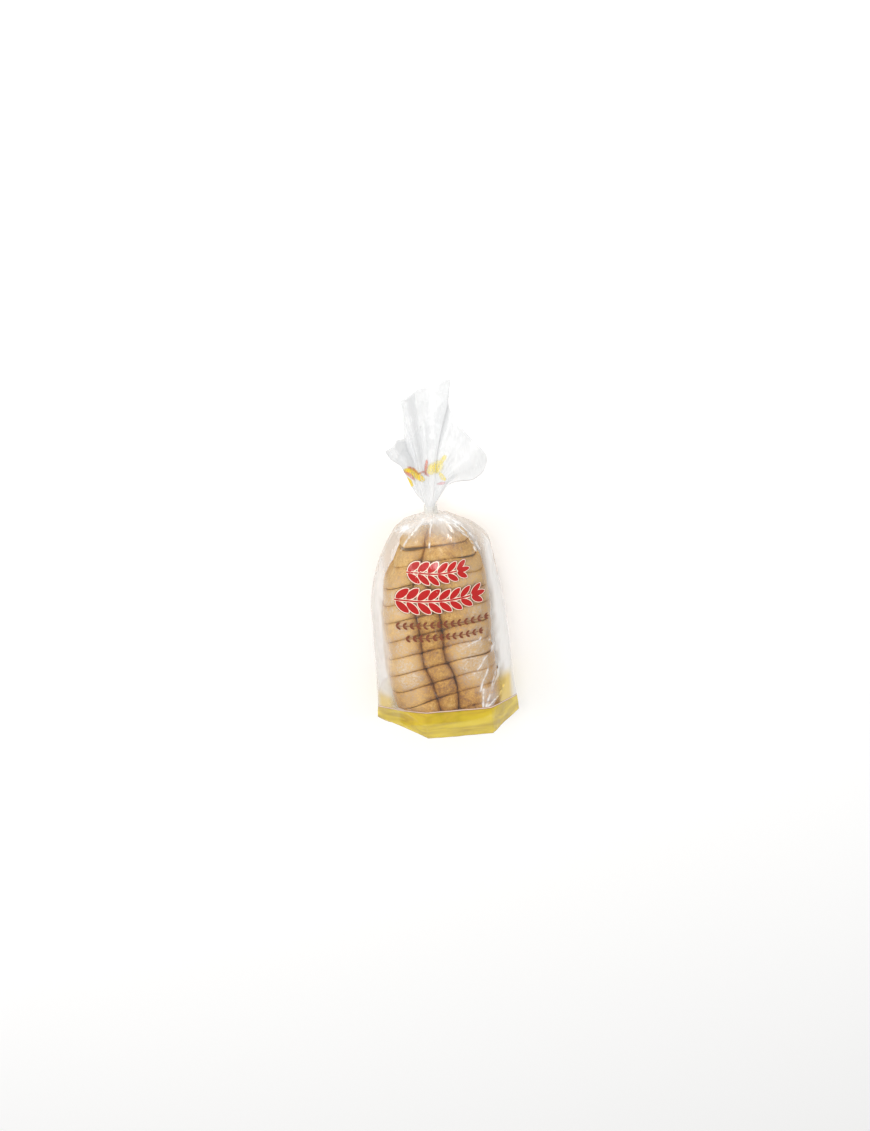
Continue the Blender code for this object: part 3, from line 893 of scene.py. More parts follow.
def slice_of_bread(index, foot_cut, head_cut, crust, crumb):
    """One slice: its crust between two cuts, and both crumb faces."""
    def foot_y(x):
        return cut_y(foot_cut, x, True)

    def head_y(x):
        return cut_y(head_cut, x, False)

    steps = 0.5 - 0.5 * np.cos(np.linspace(0, math.pi, SLICE_ROWS))
    steps = mix(steps, np.linspace(0, 1, SLICE_ROWS), 0.35)
    rows = np.stack([crust_ring(lambda x, t=t: mix(foot_y(x), head_y(x), t)) for t in steps])
    edge = np.abs(2 * steps - 1)[:, None]
    strip = on_strip(rows[..., 0])
    rounding = mix(*EDGE_ROUNDING, strip) * edge ** 6 + mix(*WIDE_ROUNDING, strip) * edge ** 2
    rows = rough_crust(pushed_out(rows, -rounding), index)
    rng = np.random.default_rng(60 + index)
    lift, shift = rng.uniform(*SLICE_LIFT), rng.uniform(*SLICE_SHIFT)
    rows += np.multiply.outer(rise(rows[..., 2], 0, 0.03), (shift, 0, lift))
    return bread_piece(f"slice_{index:02d}", rows, foot_y, head_y, edge ** 6, crust, crumb)


def bread_piece(name, rows, foot_y, head_y, edge, crust, crumb, pole=None):
    """A closed piece of bread from its crust rows: a crumb face or a crust pole at each end."""
    count, size = rows.shape[:2]
    numbers = crust_values(rows, edge)
    points = [rows.reshape(-1, 3)]
    values = {label: [value.ravel()] for label, value in numbers.items()}
    faces = grid_faces(count, size, closed=True)
    total = count * size
    if pole is not None:
        end = 0 if foot_y is None else count - 1
        fan = fan_faces(end * size, size, total)
        faces += flipped(fan) if end == 0 else fan
        points.append(pole[None])
        for label, value in numbers.items():
            values[label].append([value[end].mean()])
        total += 1
    crust_faces = len(faces)
    rim_faces = []
    for rim_row, y_at, turned in ((0, foot_y, True), (count - 1, head_y, False)):
        if y_at is None:
            continue
        rings, middle = face_rings(rows[rim_row], y_at)
        rim_faces.append(len(faces))
        points += rings + [middle]
        faces += closed_face(rim_row * size, total, size, len(rings), turned)
        inner = size * len(rings) + 1
        values["baked_and_shaded"].append(np.full(inner, RIM_BAKED))
        values["floured"].append(np.zeros(inner))
        total += inner
    points = kept_inside(leaned(np.concatenate(points)))
    values = {label: np.concatenate(parts) for label, parts in values.items()}
    piece = finished(name, points, faces, [crust, crumb], values, smooth_angle=50)
    slots = np.zeros(len(faces), np.int32)
    slots[crust_faces:] = 1
    for first in rim_faces:
        slots[first:first + size] = 0
    piece.data.polygons.foreach_set("material_index", slots)
    return piece


def heel(name, cut, pole_y, roundness, centre_z, crust, crumb, seed):
    """An end slice: one crumb face, and crust that domes over to the loaf's end."""
    towards_head = pole_y > cut[0]

    def face_y(x):
        return cut_y(cut, x, towards_head)

    base = crust_ring(face_y)
    steps = np.sin(np.linspace(0, math.pi / 2, HEEL_ROWS + 1))[:-1]
    rows = []
    for u in steps:
        shrink = (1 - u ** roundness) ** (1 / roundness)
        x = mix(HEEL_MIDDLE_X, base[:, 0], shrink)
        y = mix(face_y(x), pole_y, u)
        z = mix(centre_z, base[:, 2], shrink)
        rows.append(np.stack([x, y, z], -1))
    rows = np.stack(rows)
    edge = (1 - steps[:, None] / HEEL_EDGE).clip(0, 1)
    rounding = HEEL_ROUNDING * edge ** 2 * (rows[..., 2] > 0.02)
    rows = rows - outward(rows) * rounding[..., None]
    rows = rough_crust(rows, seed)
    ends = (face_y, None)
    if not towards_head:
        rows, edge, ends = rows[::-1], edge[::-1], (None, face_y)
    pole = rows[-1 if towards_head else 0].mean(0)
    return bread_piece(name, rows, *ends, edge, crust, crumb, pole)


def neck_tape(name, material):
    """Clear tape wound round the neck, its free end lapped over its start."""
    turns = np.linspace(0, 2 * math.pi * TAPE_TURNS, 120)[None, :]
    along = np.linspace(-1, 1, 13)[:, None]
    ripple = 0.00010 * np.sin(5 * turns) + 0.00003 * np.sin(11 * turns + along)
    radius = TAPE_RADIUS + TAPE_LAP * turns / (2 * math.pi) + ripple - 0.00015 * along ** 2
    half = TAPE_HALF_WIDTH * (1 - 0.03 * np.sin(5 * turns))
    y = TAPE_MIDDLE.y + along * half + 0.0004 * np.sin(turns)
    start = math.radians(35)
    layers = [np.stack([size * np.cos(turns + start), y, NECK_Z + size * np.sin(turns + start)],
                       -1) for size in (radius, radius - TAPE_THICKNESS)]
    rows, columns = y.shape
    size = rows * columns
    outer = grid_faces(rows, columns)
    faces = flipped(outer) + [tuple(size + i for i in face) for face in outer]
    rim = list(range(columns)) + [r * columns + columns - 1 for r in range(1, rows)]
    rim += [size - 1 - c for c in range(1, columns)]
    rim += [(rows - 1 - r) * columns for r in range(1, rows - 1)]
    for a, b in zip(rim, rim[1:] + rim[:1]):
        faces.append((a, b, b + size, a + size))
    points = np.concatenate(layers).reshape(-1, 3)
    values = {"band_mm": np.full(len(points), NO_BAND), "whiteness": np.full(len(points), 0.10)}
    return finished(name, points, faces, [material], values, smooth_angle=40)


def linear(red, green, blue):
    """A colour given as 0 to 255 on screen, for a shader."""
    def one(value):
        value = value / 255
        return value / 12.92 if value <= 0.04045 else ((value + 0.055) / 1.055) ** 2.4
    return (one(red), one(green), one(blue), 1.0)


def node(tree, kind, inputs=None, **settings):
    """Adds a node, with its settings, and the values or links of its inputs."""
    made = tree.nodes.new(kind)
    for name, value in settings.items():
        setattr(made, name, value)
    for name, value in (inputs or {}).items():
        if isinstance(value, bpy.types.NodeSocket):
            tree.links.new(value, made.inputs[name])
        else:
            made.inputs[name].default_value = value
    return made


def maths(tree, operation, a, b=0.5, clamp=False):
    """A sum, product or other working on two numbers."""
    made = node(tree, "ShaderNodeMath", {0: a, 1: b}, operation=operation, use_clamp=clamp)
    return made.outputs[0]


def plus(tree, a, b, clamp=False):
    return maths(tree, "ADD", a, b, clamp)


def minus(tree, a, b):
    return maths(tree, "SUBTRACT", a, b)


def times(tree, a, b, clamp=False):
    return maths(tree, "MULTIPLY", a, b, clamp)


def ranged(tree, value, low, high, to_low=0.0, to_high=1.0, how="SMOOTHSTEP"):
    """Turns a number's range into another, eased."""
    made = node(tree, "ShaderNodeMapRange",
                {"Value": value, "From Min": low, "From Max": high, "To Min": to_low,
                 "To Max": to_high}, interpolation_type=how)
    return made.outputs[0]


def coloured(tree, share, a, b):
    """Mixes two colours."""
    return node(tree, "ShaderNodeMix", {0: share, 6: a, 7: b}, data_type="RGBA").outputs[2]


def in_place(tree, scale=None):
    """The place on the object, or that place stretched by a scale for each axis."""
    place = node(tree, "ShaderNodeTexCoord").outputs["Object"]
    if scale is None:
        return place
    return node(tree, "ShaderNodeMapping", {"Vector": place, "Scale": scale}).outputs[0]


def bumped(tree, height, strength, distance):
    """A normal that follows a height."""
    made = node(tree, "ShaderNodeBump", {"Height": height, "Strength": strength,
                                         "Distance": distance})
    return made.outputs[0]


def noise(tree, place, scale, detail=3.0, roughness=0.55, distortion=0.0):
    """Soft random pattern, with that many lumps to the metre."""
    made = node(tree, "ShaderNodeTexNoise",
                {"Vector": place, "Scale": scale, "Detail": detail, "Roughness": roughness,
                 "Distortion": distortion})
    return made.outputs[0]


def attribute(tree, name):
    """A number that the mesh carries at its points."""
    return node(tree, "ShaderNodeAttribute", attribute_name=name).outputs["Fac"]


def effect(name, inputs, outputs):
    """An empty shader group with these number inputs and outputs."""
    tree = bpy.data.node_groups.new(name, "ShaderNodeTree")
    for label, value in inputs:
        socket = tree.interface.new_socket(label, in_out="INPUT", socket_type="NodeSocketFloat")
        socket.default_value = value
    for label, kind in outputs:
        tree.interface.new_socket(label, in_out="OUTPUT", socket_type="NodeSocket" + kind)
    return tree, node(tree, "NodeGroupInput").outputs, node(tree, "NodeGroupOutput").inputs


def material(name):
    """A new material with only its output, and a Principled shader that feeds it."""
    made = bpy.data.materials.new(name)
    made.use_nodes = True
    tree = made.node_tree
    tree.nodes.clear()
    shader = node(tree, "ShaderNodeBsdfPrincipled")
    node(tree, "ShaderNodeOutputMaterial", {"Surface": shader.outputs[0]})
    return made, tree, shader


def baked_grain_effect():
    """Pattern of baked dough: broad patches, fine specks, pores and their height."""
    tree, given, out = effect("baked_grain", (("Patch Scale", 60.0), ("Pore Scale", 420.0)),
                              (("Patches", "Float"), ("Specks", "Float"), ("Pores", "Float"),
                               ("Height", "Float")))
    place = in_place(tree)
    patches = noise(tree, place, given["Patch Scale"], 5.0, 0.58, 0.3)
    specks = noise(tree, place, times(tree, given["Patch Scale"], 9.0), 4.0, 0.75)
    cells = node(tree, "ShaderNodeTexVoronoi", {"Vector": place, "Scale": given["Pore Scale"],
                                                "Randomness": 1.0})
    sizes = noise(tree, place, given["Pore Scale"], 2.0)
    pores = ranged(tree, cells.outputs["Distance"], 0.10, 0.30, 1.0, 0.0)
    pores = times(tree, pores, ranged(tree, sizes, 0.46, 0.62))
    height = plus(tree, times(tree, specks, 0.6), times(tree, patches, 0.8))
    height = minus(tree, height, times(tree, pores, 0.5))
    for label, value in (("Patches", patches), ("Specks", specks), ("Pores", pores),
                         ("Height", height)):
        tree.links.new(value, out[label])
    return tree


# Colours of the crust from palest to darkest, with how far baked each one is; the darker ones
# also serve as painted shade
CRUST_SHADES = (
    (0.00, (226, 190, 124)),
    (0.22, (212, 168, 90)),
    (0.45, (192, 142, 60)),
    (0.66, (166, 114, 46)),
    (0.84, (132, 84, 34)),
    (1.00, (98, 60, 26)),
)
FLOUR = (232, 221, 202)
# The crumb's colours, and the darker colour of its pores: painted shade in the holes
CRUMB_PALE = (226, 204, 164)
CRUMB_DEEP = (206, 178, 132)
CRUMB_PORE_SHADE = (150, 112, 70)


def crust_ramp(tree, bake_and_shade):
    """The crust's colour by how far it is baked, with its painted shade added in."""
    ramp = node(tree, "ShaderNodeValToRGB", {"Fac": bake_and_shade})
    stops = ramp.color_ramp.elements
    while len(stops) < len(CRUST_SHADES):
        stops.new(0.5)
    for stop, (place, shade) in zip(stops, CRUST_SHADES):
        stop.position = place
        stop.color = linear(*shade)
    return ramp.outputs["Color"]


def crust_material(grain):
    """Floured country crust: pale lobes, browner in the score lines and at the heels, and
    darkened further by painted shade.
    """
    made, tree, shader = material("country_crust")
    marks = node(tree, "ShaderNodeGroup", {"Patch Scale": 95.0, "Pore Scale": 480.0},
                 node_tree=grain).outputs
    mottle = noise(tree, in_place(tree), 400.0, 4.0, 0.70)
    # How far baked, with the painted shade of score lines, grooves, slice edges and right side
    bake_and_shade = attribute(tree, "baked_and_shaded")
    for pattern, strength in ((marks["Patches"], 1.05), (marks["Specks"], 1.05), (mottle, 1.25)):
        bake_and_shade = plus(tree, bake_and_shade, times(tree, minus(tree, pattern, 0.5), strength))
    # Pores darken the crust a little: painted shade in its pits
    bake_and_shade = plus(tree, bake_and_shade, times(tree, marks["Pores"], 0.07))
    dust = attribute(tree, "floured")
    for pattern in ((marks["Specks"], 0.30, 0.70, 0.25, 1.0, "LINEAR"),
                    (marks["Patches"], 0.28, 0.60, 0.50, 1.0), (mottle, 0.38, 0.60, 0.42, 1.15)):
        dust = times(tree, dust, ranged(tree, *pattern))
    colour = coloured(tree, dust, crust_ramp(tree, bake_and_shade), linear(*FLOUR))
    tree.links.new(colour, shader.inputs["Base Color"])
    rough = ranged(tree, marks["Specks"], 0.3, 0.7, 0.62, 0.88)
    tree.links.new(rough, shader.inputs["Roughness"])
    shader.inputs["Specular IOR Level"].default_value = 0.35
    tree.links.new(bumped(tree, marks["Height"], 0.75, 0.0011), shader.inputs["Normal"])
    return made


def crumb_material(grain):
    """Soft cream crumb with open pores, darker in them as painted shade, seen where the slices
    part.
    """
    made, tree, shader = material("open_crumb")
    marks = node(tree, "ShaderNodeGroup", {"Patch Scale": 75.0, "Pore Scale": 260.0},
                 node_tree=grain).outputs
    colour = coloured(tree, ranged(tree, marks["Patches"], 0.3, 0.7), linear(*CRUMB_PALE),
                      linear(*CRUMB_DEEP))
    colour = coloured(tree, times(tree, marks["Pores"], 0.75), colour, linear(*CRUMB_PORE_SHADE))
    tree.links.new(colour, shader.inputs["Base Color"])
    rough = ranged(tree, marks["Specks"], 0.3, 0.7, 0.75, 0.95)
    tree.links.new(rough, shader.inputs["Roughness"])
    tree.links.new(bumped(tree, marks["Height"], 0.8, 0.0014), shader.inputs["Normal"])
    return made


def film_effect():
    """Pattern of thin film: crinkles as a normal, and a cover that grows where it is milky."""
    tree, given, out = effect("film_crinkle", (("Whiteness", 0.0), ("Crinkle", 1.0),
                                               ("Clear Cover", 0.07)),
                              (("Cover", "Float"), ("Normal", "Vector")))
    stretched = in_place(tree, (1.0, 0.28, 1.0))
    broad = noise(tree, stretched, 46.0, 3.0, 0.5, 0.8)
    fine = noise(tree, stretched, 190.0, 3.0, 0.55, 1.2)
    folds = maths(tree, "ABSOLUTE", minus(tree, broad, 0.5))
    streaks = times(tree, ranged(tree, folds, 0.0, 0.022, 1.0, 0.0),
                    ranged(tree, fine, 0.45, 0.62))
    cover = times(tree, given["Whiteness"], ranged(tree, fine, 0.25, 0.75, 0.85, 1.12))
    cover = plus(tree, cover, given["Clear Cover"])
    cover = plus(tree, cover, times(tree, streaks, 0.10), clamp=True)
    tree.links.new(cover, out["Cover"])
    height = plus(tree, times(tree, folds, 2.0), times(tree, fine, 0.30))
    tree.links.new(bumped(tree, height, given["Crinkle"], 0.0016), out["Normal"])
    return tree


BAND_LINE = (137, 84, 52)
BAND_PALE = (240, 214, 190)
# The band's yellow, and a darker copy for the painted shade of its folds
BAND_YELLOW = (236, 209, 18)
BAND_SHADED_YELLOW = (190, 160, 2)
# The painted glow of the back film's band on the front film's sides
PAINTED_BAND_GLOW = (240, 208, 104)
FILM_WHITE = (246, 246, 245)
RUFFLE_WHITE = (222, 223, 224)
TAPE_WHITE = (236, 234, 228)
# Roughness and refraction of the stretched and the loose film
FILM_GLOSS = (0.16, 1.9)
RUFFLE_GLOSS = (0.34, 1.45)
# The tint of clear film, and the share of its cover that casts no shadow
CLEAR_TINT = 0.985
SHADOW_LET_THROUGH = 0.88
# How much the band and its lines cover, and how soft the lines are in millimetres
LINE_COVER = 0.86
PALE_COVER = 0.90
BAND_COVER = 0.71
LINE_SOFTNESS = 0.08


def see_through(tree, shader, cover):
    """Mixes the shader with clear air, by how much the film covers."""
    surface = shader.outputs[0].links[0].to_socket
    clear = node(tree, "ShaderNodeBsdfTransparent", {"Color": (*[CLEAR_TINT] * 3, 1.0)})
    mixed = node(tree, "ShaderNodeMixShader", {0: cover, 1: clear.outputs[0],
                                               2: shader.outputs[0]})
    tree.links.new(mixed.outputs[0], surface)


def shining(tree, cover, normal):
    """Adds the film's sheen, which is strongest where it is seen edge on, to its cover."""
    shine = node(tree, "ShaderNodeFresnel", {"IOR": 1.50, "Normal": normal}).outputs[0]
    return plus(tree, cover, times(tree, times(tree, shine, 0.5), minus(tree, 1.0, cover)),
                clamp=True)


def edge_on_white(tree, cover):
    """Raises the cover of slack film where it is seen edge on."""
    facing = node(tree, "ShaderNodeLayerWeight", {"Blend": 0.5}).outputs["Facing"]
    edge_on = times(tree, ranged(tree, facing, 0.12, 0.46, 0.0, 0.62), attribute(tree, "slack"))
    return maths(tree, "MAXIMUM", cover, edge_on)


def printed_band(tree, shade, cover):
    """Lays the yellow foot band, with its pale and brown edge lines, on the film; its yellow
    carries painted light and shade of folds, and the sides take a painted glow of the back band.
    """
    # Painted light and shade of the band's folds: streaks of noise mix the yellow with a darker
    # copy
    folds = noise(tree, in_place(tree, (0.22, 1.0, 0.6)), 75.0, 4.0, 0.6, 0.6)
    yellow = coloured(tree, ranged(tree, folds, 0.36, 0.66), linear(*BAND_SHADED_YELLOW),
                      linear(*BAND_YELLOW))
    along = attribute(tree, "band_mm")
    # Painted glow: the front film's sides take the lit yellow of the back film's band
    shade = coloured(tree, attribute(tree, "glow"), shade, linear(*PAINTED_BAND_GLOW))
    for start, colour, ink in ((0.0, linear(*BAND_LINE), LINE_COVER),
                               (0.55, linear(*BAND_PALE), PALE_COVER),
                               (1.55, linear(*BAND_LINE), LINE_COVER),
                               (2.05, yellow, BAND_COVER)):
        part = ranged(tree, along, start - LINE_SOFTNESS, start + LINE_SOFTNESS, how="LINEAR")
        shade = coloured(tree, part, shade, colour)
        cover = plus(tree, times(tree, cover, minus(tree, 1.0, part)), times(tree, part, ink))
    return shade, cover


def film_material(name, crinkles, crinkle, clear_cover, tone, gloss, inked=False):
    """Clear film, and where it is inked the translucent yellow foot band with its edge."""
    made, tree, shader = material(name)
    marks = node(tree, "ShaderNodeGroup",
                 {"Whiteness": attribute(tree, "whiteness"), "Crinkle": crinkle,
                  "Clear Cover": clear_cover}, node_tree=crinkles).outputs
    cover = shining(tree, marks["Cover"], marks["Normal"])
    shader.inputs["Base Color"].default_value = linear(*tone)
    if inked:
        shade, cover = printed_band(tree, linear(*tone), edge_on_white(tree, cover))
        tree.links.new(shade, shader.inputs["Base Color"])
    shader.inputs["Roughness"].default_value, shader.inputs["IOR"].default_value = gloss
    tree.links.new(marks["Normal"], shader.inputs["Normal"])
    shadow = node(tree, "ShaderNodeLightPath").outputs["Is Shadow Ray"]
    let_through = minus(tree, 1.0, times(tree, shadow, SHADOW_LET_THROUGH))
    see_through(tree, shader, times(tree, cover, let_through))
    return made


def ink_material(name, colour, worn, crinkles, cover=None):
    """Glossy ink on film, a little uneven; with a cover it is thin and fades to its edges."""
    made, tree, shader = material(name)
    patches = ranged(tree, noise(tree, in_place(tree), 120.0, 4.0), 0.35, 0.70)
    shade = coloured(tree, times(tree, patches, 0.5), linear(*colour), linear(*worn))
    tree.links.new(shade, shader.inputs["Base Color"])
    marks = node(tree, "ShaderNodeGroup", {"Crinkle": 0.5}, node_tree=crinkles).outputs
    tree.links.new(marks["Normal"], shader.inputs["Normal"])
    shader.inputs["Roughness"].default_value = 0.30
    if cover:
        streaks = noise(tree, in_place(tree, (1.0, 0.3, 1.0)), 620.0, 4.0, 0.7, 0.5)
        streaks = plus(tree, ranged(tree, streaks, 0.36, 0.64), 0.62)
        faded = times(tree, ranged(tree, attribute(tree, "fade"), 0.0, 0.95), streaks)
        see_through(tree, shader, times(tree, faded, cover, clamp=True))
    return made


def sprig_nodes():
    """Geometry Nodes for a sprig: pairs of flat grains along a stem, and one at its tip."""
    tree = bpy.data.node_groups.new("grain_sprig", "GeometryNodeTree")
    tree.interface.new_socket("Geometry", in_out="INPUT", socket_type="NodeSocketGeometry")
    for label, kind in (("Pairs", "Int"), ("Grain Length", "Float"), ("Grain Width", "Float"),
                        ("Margin", "Float"), ("Splay", "Float"), ("Stem Width", "Float"),
                        ("Tip Size", "Float"), ("Seed", "Int"), ("Material", "Material")):
        tree.interface.new_socket(label, in_out="INPUT", socket_type="NodeSocket" + kind)
    tree.interface.new_socket("Geometry", in_out="OUTPUT", socket_type="NodeSocketGeometry")
    given = node(tree, "NodeGroupInput").outputs
    out = node(tree, "NodeGroupOutput").inputs
    stem = node(tree, "GeometryNodeMeshToCurve", {0: given["Geometry"]}).outputs[0]
    spaced = node(tree, "GeometryNodeResampleCurve", {"Curve": stem, "Count": given["Pairs"]})
    grain = flat_grain(tree, given)
    along = node(tree, "GeometryNodeInputTangent").outputs[0]
    ahead = node(tree, "FunctionNodeAlignRotationToVector", {"Vector": along}, axis="X")
    far = node(tree, "GeometryNodeSplineParameter").outputs["Factor"]
    size = ranged(tree, far, 0.35, 1.0, 1.0, given["Tip Size"], "LINEAR")
    parts = []
    for side in (1.0, -1.0):
        loose = node(tree, "FunctionNodeRandomValue", {2: 0.9, 3: 1.1, "Seed": given["Seed"]})
        angle = times(tree, given["Splay"], side)
        angle = times(tree, angle, loose.outputs[1])
        turn = node(tree, "FunctionNodeAxisAngleToRotation", {"Axis": (0, 0, 1), "Angle": angle})
        turned = node(tree, "FunctionNodeRotateRotation",
                      {0: ahead.outputs[0], 1: turn.outputs[0]}, rotation_space="LOCAL")
        placed = node(tree, "GeometryNodeInstanceOnPoints",
                      {"Points": spaced.outputs[0], "Instance": grain,
                       "Rotation": turned.outputs[0], "Scale": size})
        parts.append(placed.outputs[0])
    tips = node(tree, "GeometryNodeCurveEndpointSelection", {"Start Size": 0, "End Size": 1})
    placed = node(tree, "GeometryNodeInstanceOnPoints",
                  {"Points": spaced.outputs[0], "Instance": grain,
                   "Selection": tips.outputs[0], "Rotation": ahead.outputs[0],
                   "Scale": given["Tip Size"]})
    parts.append(placed.outputs[0])
    parts.append(stem_ribbon(tree, given, stem))
    joined = node(tree, "GeometryNodeJoinGeometry")
    for part in parts:
        tree.links.new(part, joined.inputs[0])
    real = node(tree, "GeometryNodeRealizeInstances", {0: joined.outputs[0]})
    merged = node(tree, "GeometryNodeMergeByDistance", {0: real.outputs[0], "Distance": 1e-6})
    finish = node(tree, "GeometryNodeSetMaterial", {"Geometry": merged.outputs[0],
                                                    "Material": given["Material"]})
    tree.links.new(finish.outputs[0], out["Geometry"])
    return tree


def flat_grain(tree, given):
    """A flat pointed grain that starts at its foot and lies along x."""
    sheet = node(tree, "GeometryNodeMeshGrid", {"Size X": 1.0, "Size Y": 1.0,
                                                "Vertices X": 13, "Vertices Y": 7})
    place = node(tree, "GeometryNodeInputPosition").outputs[0]
    split = node(tree, "ShaderNodeSeparateXYZ", {0: place}).outputs
    twice = times(tree, split[0], 2.0)
    bulge = minus(tree, 1.0, times(tree, twice, twice))
    bulge = maths(tree, "POWER", maths(tree, "MAXIMUM", bulge, 0.0), 0.70)
    x = times(tree, plus(tree, split[0], 0.62), given["Grain Length"])
    x = plus(tree, x, times(tree, twice, given["Margin"]))
    wide = plus(tree, given["Grain Width"], times(tree, given["Margin"], 2.0))
    y = times(tree, times(tree, split[1], wide), bulge)
    moved = node(tree, "ShaderNodeCombineXYZ", {0: x, 1: y})
    shaped = node(tree, "GeometryNodeSetPosition", {"Geometry": sheet.outputs[0],
                                                    "Position": moved.outputs[0]})
    return shaped.outputs[0]


def stem_ribbon(tree, given, stem):
    """A flat ribbon along the stem."""
    fine = node(tree, "GeometryNodeResampleCurve", {"Curve": stem, "Count": 40})
    flat = node(tree, "GeometryNodeSetCurveNormal", {"Curve": fine.outputs[0]}, mode="Z_UP")
    wide = plus(tree, given["Stem Width"], times(tree, given["Margin"], 2.0))
    half = times(tree, wide, 0.5)
    back = times(tree, half, -1.0)
    line = node(tree, "GeometryNodeCurvePrimitiveLine", {
        "Start": node(tree, "ShaderNodeCombineXYZ", {0: back}).outputs[0],
        "End": node(tree, "ShaderNodeCombineXYZ", {0: half}).outputs[0]})
    ribbon = node(tree, "GeometryNodeCurveToMesh", {"Curve": flat.outputs[0],
                                                    "Profile Curve": line.outputs[0]})
    return ribbon.outputs[0]


def laid_on(name, mesh, surface, lift, eye=None):
    """Lays a flat mesh on a surface, from above or as seen from the eye, as a finished piece."""
    carrier = BVHTree.FromPolygons([v.co.copy() for v in surface.data.vertices],
                                   [tuple(p.vertices) for p in surface.data.polygons])
    move = to_frame()
    for vertex in mesh.vertices:
        start = Vector((vertex.co.x + move.x, vertex.co.y + move.y, 0.2))
        way = Vector((0, 0, -1))
        if eye:
            way = Vector((start.x, start.y, NECK_Z)) - eye
            start = eye
        hit, normal = carrier.ray_cast(start, way)[:2]
        if hit is None:
            beside = Vector((vertex.co.x + move.x, vertex.co.y + move.y, NECK_Z))
            hit, normal = carrier.find_nearest(beside)[:2]
        if normal.z < 0:
            normal = -normal
        vertex.co = hit + normal * (lift + vertex.co.z)
    drawn = bmesh.new()
    drawn.from_mesh(mesh)
    bmesh.ops.dissolve_degenerate(drawn, dist=2e-6, edges=drawn.edges)
    stray = [corner for corner in drawn.verts if not corner.link_faces]
    bmesh.ops.delete(drawn, geom=stray, context="VERTS")
    drawn.to_mesh(mesh)
    drawn.free()
    if sum(polygon.normal.z for polygon in mesh.polygons) < 0:
        mesh.flip_normals()
    mesh.shade_smooth()
    piece = added(name, mesh)
    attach(piece, "root")
    return piece


def sprig(name, nodes, stem, sizes, ink, surface, lift):
    """A printed sprig on the film, its stem given as (across, along) in millimetres."""
    path = bpy.data.meshes.new("stem")
    points = [(x / 1000, y / 1000, 0.0) for x, y in stem]
    path.from_pydata(points, [(k, k + 1) for k in range(len(points) - 1)], [])
    carrier = added("stem", path)
    modifier = carrier.modifiers.new("sprig", "NODES")
    modifier.node_group = nodes
    for item in nodes.interface.items_tree:
        if item.in_out == "INPUT" and item.name in sizes:
            modifier[item.identifier] = sizes[item.name]
        elif item.in_out == "INPUT" and item.name == "Material":
            modifier[item.identifier] = ink
    graph = bpy.context.evaluated_depsgraph_get()
    mesh = bpy.data.meshes.new_from_object(carrier.evaluated_get(graph))
    carrier.modifiers.clear()
    bpy.data.objects.remove(carrier)
    return laid_on(name, mesh, surface, lift)


# Inks as (fresh colour, worn colour)
RED_INK = ((190, 20, 18), (168, 22, 20))
CREAM_INK = ((246, 228, 208), (236, 212, 188))
BROWN_INK = ((124, 66, 42), (142, 84, 56))
# Printed sprigs as (name, stem from foot to tip, sizes)
RED_SPRIGS = (
    ("upper", ((-28.0, 47.5), (-10.0, 46.2), (8.0, 46.0), (19.0, 46.6)),
     {"Pairs": 6, "Grain Length": 0.0145, "Grain Width": 0.0062, "Splay": 0.72,
      "Stem Width": 0.0014, "Tip Size": 0.80, "Seed": 2}),
    ("lower", ((-42.0, 20.0), (-20.0, 18.4), (8.0, 18.0), (30.5, 19.2)),
     {"Pairs": 8, "Grain Length": 0.0165, "Grain Width": 0.0070, "Splay": 0.72,
      "Stem Width": 0.0016, "Tip Size": 0.78, "Seed": 5}),
)
BROWN_SPRIGS = (
    ("row_1", ((-43.0, -7.5), (0.0, -6.6), (42.0, -6.2)),
     {"Pairs": 14, "Grain Length": 0.0052, "Grain Width": 0.0023, "Splay": 0.70,
      "Stem Width": 0.0007, "Tip Size": 0.9, "Seed": 7}),
    ("row_2", ((-34.5, -20.6), (0.0, -19.7), (36.0, -19.2)),
     {"Pairs": 12, "Grain Length": 0.0050, "Grain Width": 0.0023, "Splay": 0.70,
      "Stem Width": 0.0007, "Tip Size": 0.9, "Seed": 9}),
)


def print_sprigs(film, crinkles):
    """The printed sprigs on the front: red with cream and brown edges, and two brown rows."""
    nodes = sprig_nodes()
    red = ink_material("red_ink", *RED_INK, crinkles)
    cream = ink_material("cream_ink", *CREAM_INK, crinkles)
    brown = ink_material("brown_ink", *BROWN_INK, crinkles)
    for label, stem, sizes in RED_SPRIGS:
        for part, ink, margin, lift in (("edge", brown, 0.0014, 0.00010),
                                        ("outline", cream, 0.0009, 0.00020),
                                        ("grains", red, 0.0, 0.00032)):
            piece = sprig(f"print_{label}_{part}", nodes, stem, {**sizes, "Margin": margin},
                          ink, film, lift)
    for label, stem, sizes in BROWN_SPRIGS:
        piece = sprig(f"print_{label}", nodes, stem, {**sizes, "Margin": 0.0}, brown, film,
                      0.00012)


